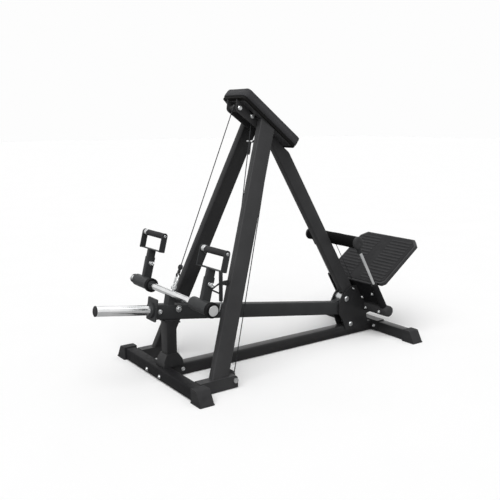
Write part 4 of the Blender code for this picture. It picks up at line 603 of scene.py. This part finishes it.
cushion = makePiece("chestPad", *padShape(), padLeather, "stand", "upholstery", 60)
shaped = fitPad(swell(cushion))
cushion.data.vertices.foreach_set("co", shaped.ravel())
cushion.data.update()
cushion.data.shade_smooth()
finer = cushion.modifiers.new("finer", "SUBSURF")
finer.levels = finer.render_levels = 1
applyModifiers(cushion)
cushion.data.shade_smooth()
cushion.data.materials.clear()
cushion.data.materials.append(padLeather)
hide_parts("pad_cushion")
print("stage: chest pad")

# Welts: a thin round cord in a strip of the same leather along the lower and upper seams
weltSpec = {"lower": {"inset": -0.0002, "up": 0.0024, "radius": 0.0019},
            "upper": {"inset": 0.0042, "up": 0.0472, "radius": 0.0016},
            "count": 160, "proud": 0.0002, "sides": 10}
cushionSkin = BVHTree.FromPolygons(pointsOf(cushion).tolist(),
                                   [tuple(face.vertices) for face in cushion.data.polygons])


def weltShape(seam):
    # the outline laid on the nearest place of the cushion, each point evened with the two
    # beside it by weights 1, 2 and 1, and a round cord along it
    outline = padOutline(seam["inset"], weltSpec["count"])
    wanted = padPoints(padSpec["length"] / 2 - outline[:, 1], outline[:, 0],
                       padSpec["board"] + seam["up"])
    found = [cushionSkin.find_nearest(Vector(point))[:2] for point in wanted]
    path = np.array([tuple(near + away * weltSpec["proud"]) for near, away in found])
    path = (np.roll(path, 1, axis=0) + path * 2 + np.roll(path, -1, axis=0)) / 4
    return loopShape(path, seam["radius"], weltSpec["sides"], padOut)


makePiece("padWelts", *merged(weltShape(weltSpec["lower"]), weltShape(weltSpec["upper"])),
          padLeather, "stand", "upholstery")
print("stage: welts")

# Foam roller: a soft thick sleeve on the cross tube, its skin a little uneven
rollerSpec = {"half": 0.213, "radius": 0.0345, "bore": 0.0128, "round": 0.008, "up": 0.3065,
              "back": 0.0005, "inward": 0.001, "sunk": 0.0004, "wave": 0.0006, "sides": 64}
capProfile = [(0.0325, -0.016), (0.0342, -0.0152), (0.0350, -0.013), (0.0350, -0.006),
              (0.0336, -0.002), (0.0300, 0.0), (0.0200, 0.0014), (0.0120, 0.0014),
              (0.0112, 0.0006), (0.0, 0.0006)]
rollerAxis = guideTop + guideUp * rollerSpec["up"] + guideBack * rollerSpec["back"]


def rollerShape():
    # radius along the length x: quarter-round ends, and between them the skin's slow waves
    # sin(3 pi x / half) cos(2 x / half); the bore joins the last ring to the first
    half, radius, bend = rollerSpec["half"], rollerSpec["radius"], rollerSpec["round"]
    a = np.linspace(0, np.pi / 2, 7)
    x = (half - bend) * (np.arange(1, 60) / 30 - 1)
    skin = rollerSpec["wave"] * np.sin(np.pi * 3 * x / half) * np.cos(2 * x / half)
    corner, mouth = radius - bend + bend * np.sin(a), half - rollerSpec["inward"]
    wide = np.r_[rollerSpec["bore"], corner, radius + skin - rollerSpec["sunk"], corner[::-1],
                 rollerSpec["bore"]]
    along = np.r_[-mouth, bend - half - bend * np.cos(a), x,
                  half - bend + bend * np.cos(a[::-1]), mouth]
    return turnedShape(np.stack([wide, along], 1), rollerAxis, sideways, rollerSpec["sides"],
                       closed=True)


endCaps = [turnedShape(capProfile, rollerAxis + sideways * (sign * rollerSpec["half"]),
                       sideways * sign, 56) for sign in (1, -1)]
makePiece("rollerCaps", *merged(*endCaps), blackNylon, "roller_carriage", "nylon", 35)
roller = makePiece("footRoller", *rollerShape(), rollerFoam, "roller_carriage", "foam")
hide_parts("roller")
print("stage: foam roller")

# Bolts, all zinc plated: radius of the head, radius of the washer and height
boltSizes = {"clamp": (0.0085, 0.0105, 0.0075), "plate": (0.005, 0.006, 0.005),
             "stop": (0.0105, 0.0125, 0.0075), "horn": (0.0115, 0.017, 0.0075),
             "pin": (0.0075, 0.0088, 0.008), "grip": (0.0062, 0.0078, 0.0058)}
washerTop = 0.0020


def boltShape(at, axis, size, socket=True):
    # profiles turned on one axis: a flat washer, then a domed head with a socket, or a
    # six-sided head and the round end of its thread
    head, washer, height = boltSizes[size]
    top, sunk = height, height - 0.0034
    flat = [(0, 0), (washer, 0), (washer, 0.0014), (washer - 0.0006, washerTop), (0, washerTop)]
    dome = [(0, washerTop), (head, washerTop), (head, 0.0035), (head * 0.94, 0.0048),
            (head * 0.78, top - 0.0008), (head * 0.55, top), (head * 0.5, top),
            (head * 0.44, top - 0.0004), (head * 0.44, sunk), (0, sunk)]
    nut = [(0, washerTop), (head, washerTop), (head, top - 0.0012), (head * 0.88, top), (0, top)]
    thread = [(0, top), (head * 0.5, top), (head * 0.48, top + 0.003), (0, top + 0.003)]
    parts = ((flat, 32), (dome, 24)) if socket else ((flat, 32), (nut, 6), (thread, 20))
    return merged(*[turnedShape(profile, at, axis, sides) for profile, sides in parts])


# Skirts: the thin lip that runs round the sole of each rubber cap
skirtSpec = {"halfX": 0.0465, "halfY": 0.0412, "height": 0.0042, "corner": 0.008,
             "beyond": 0.0445, "tubes": ((0.030, 0.352), (1.514, 0.290)), "arc": 10}


def skirtShape(x, y):
    # rounded rectangle of the half sizes, straight up to the height with its top edge rounded
    height, arc = skirtSpec["height"], skirtSpec["arc"]
    rings = ((0.0006, 0.0), (0.0, 0.0006), (0.0, height - 0.001), (0.001, height))
    outlines = [arcCorners(skirtSpec["halfX"] - inset, skirtSpec["halfY"] - inset,
                           skirtSpec["corner"] - inset, arc) + (x, y) for inset, _ in rings]
    points = [np.c_[outline, np.full(len(outline), z)] for outline, (_, z) in zip(outlines, rings)]
    return np.vstack(points), gridFaces(len(rings), 4 * arc, ends=True)


skirts = [skirtShape(sign * (span + skirtSpec["beyond"]), footY - middle)
          for footY, span in skirtSpec["tubes"] for sign in (1, -1)]
makePiece("capSkirts", *merged(*skirts), blackRubber, "stand", "rubber", 40)

# Places of the working parts, from the same sizes as the CAD
leverSpec = {"pivot": (0, 1.256, 0.235), "reach": 1.266, "drop": 0.062, "tubeBack": 0.0875,
             "tubeUp": 0.0307, "hornAhead": 0.0081, "hornDown": 0.056, "lift": 30}
armSpec = {"lean": 14, "side": 0.297, "back": 0.014, "pin": 0.103, "grip": 0.259,
           "gripTurn": 6, "pinBolt": 0.014, "pinKnob": 0.0144, "ring": 0.082, "collar": 0.0878,
           "gripBolt": 0.0952}
pivot = place(*leverSpec["pivot"])
leverRun = (leverSpec["reach"] - leverSpec["drop"] * math.sin(leverTilt)) / math.cos(leverTilt)
crossTube = (pivot + leverAhead * (leverRun - leverSpec["tubeBack"])
             + leverUp * leverSpec["tubeUp"])
armLean = math.radians(armSpec["lean"])
armUp = Vector((0, math.sin(armLean), math.cos(armLean)))


def armPoint(sign, up):
    # centre of a handle's arm, measured up it from the height of the cross tube
    return crossTube + Vector((sign * armSpec["side"], armSpec["back"], 0)) + armUp * up


def guidePoint(x, up, back):
    # a point measured from the top of the roller's guides, up and back along their slope
    return guideTop + sideways * x + guideUp * up + guideBack * back


# Bolts of the front foot, the beam, the rear tube, the carrier plate and the low cross tube
boltPlaces = {"foot": (-0.101, 0.034), "footUp": 0.024, "beam": (0.030, 0.139, 0.034),
              "rear": (0.054, -0.054), "rearAt": (1.478, 0.034),
              "carrier": ((0.040, -0.127), (0.148, -0.075), (-0.040, -0.127), (-0.148, -0.075)),
              "carrierFace": -0.012, "low": (0.055, 0.166, -0.055, -0.166),
              "lowDrop": 0.202, "lowRadius": 0.0325, "lowTurn": 12,
              "plate": (0.0377, 1.311, 0.290), "stop": (0.025, 0.018, 0.354),
              "horn": (0.025, 0.124, 0.352)}
beamX, beamY, beamZ = boltPlaces["beam"]
lowTurn = math.radians(boltPlaces["lowTurn"])
lowFront = Vector((0, -math.cos(lowTurn), -math.sin(lowTurn)))
lowTube = guideTop - guideUp * boltPlaces["lowDrop"] + lowFront * boltPlaces["lowRadius"]
standBolts = [boltShape(place(x, 0, boltPlaces["footUp"]), forward, "clamp")
              for x in boltPlaces["foot"]]
standBolts += [boltShape(place(beamX, beamY, beamZ), sideways, "clamp"),
               boltShape(place(-beamX, beamY, beamZ), -sideways, "clamp", False)]
standBolts += [boltShape(place(x, *boltPlaces["rearAt"]), forward, "clamp")
               for x in boltPlaces["rear"]]
standBolts += [boltShape(guidePoint(x, up, boltPlaces["carrierFace"]), -guideBack, "clamp")
               for x, up in boltPlaces["carrier"]]
standBolts += [boltShape(lowTube + sideways * x, lowFront, "clamp") for x in boltPlaces["low"]]
makePiece("standBolts", *merged(*standBolts), zincSteel, "stand", "steel", 30)
plateBolt = boltShape(place(*boltPlaces["plate"]), sideways, "plate")
makePiece("plateBolt", *plateBolt, zincSteel, "stand", "steel", 30)
leverBolts = [boltShape(place(*boltPlaces["stop"]), sideways, "stop"),
              boltShape(place(*boltPlaces["horn"]), sideways, "horn")]
leverBolts += [boltShape(armPoint(sign, armSpec["pin"]) - sideways * armSpec["pinBolt"],
                         -sideways, "pin", False) for sign in (1, -1)]
makePiece("leverBolts", *merged(*leverBolts), zincSteel, "lever_arm", "steel", 30)

# Steel skin of the bush in the lever's hinge, and the bright rod of the latch's hook
bushProfile = [(0.0290, -0.0280), (0.0298, -0.0284), (0.0306, -0.0276), (0.0306, 0.0276),
               (0.0298, 0.0284), (0.0290, 0.0280)]
rodProfile = [(0.0, 0.0), (0.0022, 0.0), (0.0026, 0.0006), (0.0026, 0.0540), (0.0022, 0.0546),
              (0.0, 0.0546)]
rodFoot, rodWay = place(0.2134, 0.243, 0.361), Vector((0, 0.0145, 0.053))
makePiece("pivotBush", *turnedShape(bushProfile, pivot, sideways, 56), zincSteel, "lever_arm",
          "steel", 30)
makePiece("latchRod", *turnedShape(rodProfile, rodFoot, rodWay, 20), zincSteel, "latch",
          "steel", 30)
print("stage: bolts")

# Handles: rubber rings on the sleeves, knobs of the spring pins, a plated collar on each grip
ringProfile = [(0.0316, -0.0004), (0.0352, -0.0004), (0.0368, 0.0014), (0.0368, 0.0189),
               (0.0352, 0.0207), (0.0250, 0.0207)]
knobProfile = [(0.0046, 0.0), (0.0100, 0.0004), (0.0112, 0.0016), (0.0112, 0.0040),
               (0.0098, 0.0050), (0.0098, 0.0070), (0.0118, 0.0082), (0.0118, 0.0200),
               (0.0108, 0.0222), (0.0082, 0.0236), (0.0, 0.0240)]
collarProfile = [(0.0128, 0.004), (0.0158, 0.004), (0.0165, 0.0050), (0.0165, 0.0242),
                 (0.0158, 0.0250), (0.0150, 0.0250)]
gripAcross = Matrix.Rotation(math.radians(armSpec["gripTurn"]), 3, armUp) @ sideways
rings = []
for side, sign in (("near", 1), ("far", -1)):
    start = crossTube + sideways * (sign * armSpec["side"] + armSpec["ring"])
    rings.append(turnedShape(ringProfile, start, sideways, 48))
    knobAt = armPoint(sign, armSpec["pin"]) + sideways * armSpec["pinKnob"]
    makePiece(f"pinKnob{side.title()}", *turnedShape(knobProfile, knobAt, sideways, 40),
              zincSteel, f"handle_pin_{side}", "steel", 30)
makePiece("sleeveRings", *merged(*rings), ringRubber, "lever_arm", "rubber", 30)
for side, sign in (("near", 1), ("far", -1)):
    gripAt = armPoint(sign, armSpec["grip"])
    collar = turnedShape(collarProfile, gripAt - gripAcross * armSpec["collar"], gripAcross, 40)
    makePiece(f"gripCollar{side.title()}", *collar, zincSteel, f"grip_{side}", "steel", 30)
    heads = [boltShape(gripAt + gripAcross * (end * armSpec["gripBolt"]), gripAcross * end, "grip")
             for end in (1, -1)]
    makePiece(f"gripBolts{side.title()}", *merged(*heads), zincSteel, f"handle_{side}", "steel", 30)

# Painted flange where the plate horn meets its stop plate
flangeProfile = [(0.0255, 0.0), (0.0350, 0.0), (0.0368, 0.0016), (0.0368, 0.0110),
                 (0.0350, 0.0130), (0.0300, 0.0135), (0.0262, 0.0165), (0.0252, 0.0165)]
hornStart = (pivot + leverAhead * (leverRun + leverSpec["hornAhead"])
             - leverUp * leverSpec["hornDown"])
makePiece("hornFlange", *turnedShape(flangeProfile, hornStart, leverAhead, 48), leverCoat,
          "lever_arm", "lever_paint", 30)
print("stage: handles")

# Cables: six strands round a core, laid over the same route as the CAD cable
cableSpec = {"radius": 0.0025, "lay": 0.030, "step": 0.003, "groove": 0.16, "sides": 18,
             "onHead": 0.0187, "onFoot": 0.0337, "x": 0.015, "footX": 0.263,
             "headFront": (0.484, 1.342), "headRear": (0.561, 1.302), "foot": (0.260, 0.041),
             "anchor": (0.052, 0.678, 1.200), "socket": 0.040, "end": 0.150, "lap": 0.0045,
             "clear": 0.0046}


def touching(first, firstRadius, second, secondRadius, turn):
    # the line that touches two circles: its normal stands at acos((r1 - r2) / d) to their gap
    gap = second - first
    angle = math.acos((firstRadius - secondRadius) / gap.length) * turn
    c, s = math.cos(angle), math.sin(angle)
    normal = gap.normalized()
    normal = Vector((normal.x * c - normal.y * s, normal.x * s + normal.y * c))
    return first + normal * firstRadius, second + normal * secondRadius


def around(centre, start, end, x, clockwise, steps=24):
    # arc points r cos a, r sin a about a pulley between two touching points
    one, two = start - centre, end - centre
    first = math.atan2(one.y, one.x)
    sweep = (math.atan2(two.y, two.x) - first) % (2 * math.pi)
    sweep -= 2 * math.pi if clockwise else 0
    a = first + sweep * np.arange(steps + 1) / steps
    return np.stack([np.full(steps + 1, x), centre.x + one.length * np.cos(a),
                     centre.y + one.length * np.sin(a)], 1)


def strandShape(path):
    # rings every step along the path; the radius has six lobes that turn once per lay
    path = np.array([tuple(point) for point in path])
    sides, groove = cableSpec["sides"], cableSpec["groove"]
    lengths = np.r_[0, np.cumsum(np.linalg.norm(np.diff(path, axis=0), axis=1))]
    count = max(2, int(lengths[-1] / cableSpec["step"]))
    along = np.linspace(0, lengths[-1], count)
    centres = np.stack([np.interp(along, lengths, path[:, k]) for k in range(3)], 1)
    twist = 2 * np.pi * along[:, None] / cableSpec["lay"]
    lobes = np.abs(np.cos(3 * (circle(sides)[None] - twist)))
    radius = cableSpec["radius"] * (1 - groove + groove * lobes)
    points = ringsAlong(centres, np.gradient(centres, axis=0), sideways, radius, circle(sides))
    return points, gridFaces(count, sides, ends=True)


def sidePoint(point):
    # the point as the machine's side view shows it
    return Vector((point.y, point.z))


headFront = sidePoint(place(0, *cableSpec["headFront"]))
headRear = sidePoint(place(0, *cableSpec["headRear"]))
footWheel = sidePoint(place(0, *cableSpec["foot"]))
anchorTop = place(*cableSpec["anchor"])
onHead, onFoot = cableSpec["onHead"], cableSpec["onFoot"]
_, rise = touching(sidePoint(crossTube), 0, headFront, onHead, 1)
topOne, topTwo = touching(headFront, onHead, headRear, onHead, 1)
leave, arrive = touching(headRear, onHead, footWheel, -onFoot, 1)
depart, _ = touching(footWheel, onFoot, sidePoint(anchorTop), 0, -1)
anchorDown = (Vector((cableSpec["footX"], depart.x, depart.y)) - anchorTop).normalized()
route = np.vstack([around(headFront, rise, topOne, cableSpec["x"], True),
                   around(headRear, topTwo, leave, cableSpec["x"], True),
                   around(footWheel, arrive, depart, cableSpec["footX"], False, 60),
                   [tuple(anchorTop + anchorDown * cableSpec["socket"])]])
runCable = makePiece("runCable", *strandShape(route), cableSteel, "stand", "steel", 60)
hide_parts("cable")

tie = Vector((cableSpec["x"], crossTube.y, crossTube.z))
runTop = Vector((cableSpec["x"], rise.x, rise.y))
runUp = (runTop - tie).normalized()
runAcross = sideways.cross(runUp)
runEnd = tie + runUp * cableSpec["end"]
frontCable = makePiece("frontCable", *strandShape([runEnd, runTop + runUp * cableSpec["lap"]]),
                       cableSteel, "stand", "steel", 60)
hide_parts("cable_front")
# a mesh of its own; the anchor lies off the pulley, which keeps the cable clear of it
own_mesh(frontCable)

# Snap hook, with its gate's barrel, and the rubber-covered end of the cable above it
hookSpec = {"up": 0.0641, "half": 0.022, "round": 0.0113, "wire": 0.0042, "barrelDown": 0.004}
thimbleSpec = {"up": 0.0990, "round": 0.0085, "wire": 0.0036}
barrelProfile = [(0.0043, 0), (0.0060, 0.0006), (0.0064, 0.0020), (0.0064, 0.0170),
                 (0.0060, 0.0184), (0.0043, 0.0190)]
coverProfile = [(0.0, 0.1055), (0.0060, 0.1065), (0.0078, 0.1100), (0.0078, 0.1200),
                (0.0066, 0.1235), (0.0070, 0.1260), (0.0100, 0.1290), (0.0122, 0.1350),
                (0.0122, 0.1420), (0.0100, 0.1480), (0.0060, 0.1512), (0.0028, 0.1520),
                (0.0, 0.1520)]


def arcPath(centre, first, second, radius, turns):
    # r cos a along the first direction and r sin a along the second, for every turn a
    return (np.array(centre) + np.outer(radius * np.cos(turns), np.array(first))
            + np.outer(radius * np.sin(turns), np.array(second)))


# the hook's wire: two half circles joined by straight sides
hookCentre = tie + runUp * hookSpec["up"]
bow = np.linspace(-np.pi / 2, np.pi / 2, 13)
hookPath = np.vstack([arcPath(hookCentre + runUp * (end * hookSpec["half"]), runUp * end,
                              sideways * end, hookSpec["round"], bow) for end in (1, -1)])
hook = loopShape(hookPath, hookSpec["wire"], 16, runAcross)
barrelAt = hookCentre + sideways * hookSpec["round"] - runUp * hookSpec["barrelDown"]
barrel = turnedShape(barrelProfile, barrelAt, runUp, 24)
snapHook = makePiece("snapHook", *merged(hook, barrel), zincSteel, "lever_arm", "steel", 50)
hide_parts("snap_link")
thimblePath = arcPath(tie + runUp * thimbleSpec["up"], runUp, runAcross, thimbleSpec["round"],
                      circle(32))
thimble = loopShape(thimblePath, thimbleSpec["wire"], 12, sideways)
cover = turnedShape(coverProfile, tie, runUp, 32)
cableEnd = makePiece("cableEnd", *merged(thimble, cover), blackRubber, "lever_arm", "rubber", 60)
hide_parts("cable_ferrule")

# Joiner on the rear run below the head: cross pin with its nut, and a dark threaded sleeve
joinAt, joinDown = place(0.040, 0.551, 1.176), Vector((0.248, -0.320, -1.261))
pinProfile = [(0, -0.026), (0.0042, -0.026), (0.0050, -0.0250), (0.0050, 0.0180),
              (0.0042, 0.0190), (0, 0.0190)]
nutProfile = [(0, 0.0185), (0.0072, 0.0185), (0.0080, 0.0195), (0.0080, 0.0245),
              (0.0070, 0.0255), (0, 0.0255)]
sleeveProfile = [(0.0026, 0.004), (0.0058, 0.005), (0.0064, 0.008), (0.0064, 0.058),
                 (0.0054, 0.062), (0.0042, 0.068), (0.0026, 0.071)]
joinPin = merged(turnedShape(pinProfile, joinAt, sideways, 24),
                 turnedShape(nutProfile, joinAt, sideways, 6))
makePiece("joinPin", *joinPin, zincSteel, "stand", "steel", 30)
makePiece("joinSleeve", *turnedShape(sleeveProfile, joinAt, joinDown, 28), blackRubber, "stand",
          "rubber", 40)
print("stage: cables")

# Camera at the photograph's place, its lens reckoned for a frame 500 pixels wide
cameraSpec = {"sensor": 36, "lens": 685.59 / 500 * 36, "far": 100,
              "at": (2.94324, -1.50729 - middle, 1.28237), "turn": (79.2767, 0, 54.6763)}
camera = bpy.data.objects.new("camera", bpy.data.cameras.new("camera"))
camera.data.sensor_width = cameraSpec["sensor"]
camera.data.lens = cameraSpec["lens"]
camera.data.clip_end = cameraSpec["far"]
camera.location = cameraSpec["at"]
camera.rotation_euler = [math.radians(turn) for turn in cameraSpec["turn"]]
bpy.context.collection.objects.link(camera)
bpy.context.scene.camera = camera

# Floor: a wide pale sheet, as white as the background where no shadow falls
floorSpec = {"half": 40.0, "height": -0.0005, "colour": "fcfcfc", "second": "fbfbfb",
             "bounce": "b8b8b8", "clouds": 0.5, "roughness": 0.8}


def floorMaterial(spec):
    # painted studio floor: nearly even white with a faint cloudiness
    material, tree, shader, coords = startMaterial("paleFloor")
    clouds = addNode(tree, "TexNoise", {"Vector": coords, "Scale": 1 / spec["clouds"]})
    tone = addNode(tree, "MapRange", {"Value": clouds, **noiseRange})
    paint = addNode(tree, "Mix", {0: tone, 6: linear(spec["colour"]),
                                  7: linear(spec["second"])}, 2, data_type="RGBA")
    # seen white, but it throws back less light than white paint, as in the photograph
    seen = addNode(tree, "LightPath", out="Is Camera Ray")
    paint = addNode(tree, "Mix", {0: seen, 6: linear(spec["bounce"]), 7: paint}, 2,
                    data_type="RGBA")
    setInputs(tree, shader, {"Base Color": paint, "Roughness": spec["roughness"],
                             "Specular IOR Level": 0.0})
    return material


corners = [(x * floorSpec["half"], y * floorSpec["half"], floorSpec["height"])
           for x, y in ((-1, -1), (1, -1), (1, 1), (-1, 1))]
floor = makePiece("floor", corners, [(0, 1, 2, 3)], floorMaterial(floorSpec), None)

# Light: a broad sun from the front, a weaker one from above, and a dim world that looks white
lightSpec = {"keyLight": {"at": (1.8, -1.8, 3.6), "strength": 2.63, "softness": 60},
             "skyLight": {"at": (0.0, 1.0, 4.0), "strength": 0.60, "softness": 70}}
worldSpec = {"seen": "fdfdfd", "light": "ffffff", "strength": 0.16}
for name, spec in lightSpec.items():
    sun = bpy.data.lights.new(name, "SUN")
    sun.energy = spec["strength"]
    sun.angle = math.radians(spec["softness"])
    lamp = bpy.data.objects.new(name, sun)
    lamp.location = spec["at"]
    lamp.rotation_euler = (-Vector(spec["at"])).to_track_quat("-Z", "Y").to_euler()
    bpy.context.collection.objects.link(lamp)

world = bpy.data.worlds.new("studio")
bpy.context.scene.world = world
world.use_nodes = True
tree = world.node_tree
tree.nodes.clear()
seen = addNode(tree, "Background", {"Color": linear(worldSpec["seen"]), "Strength": 1.0})
light = addNode(tree, "Background", {"Color": linear(worldSpec["light"]),
                                     "Strength": worldSpec["strength"]})
cameraRay = addNode(tree, "LightPath", out="Is Camera Ray")
glossyRay = addNode(tree, "LightPath", out="Is Glossy Ray")
white = addNode(tree, "Math", {0: cameraRay, 1: glossyRay}, operation="MAXIMUM")
sky = addNode(tree, "MixShader", {0: white, 1: light, 2: seen})
addNode(tree, "OutputWorld", {"Surface": sky})
bpy.context.scene.view_settings.view_transform = "Standard"
print("stage: camera, floor and light")
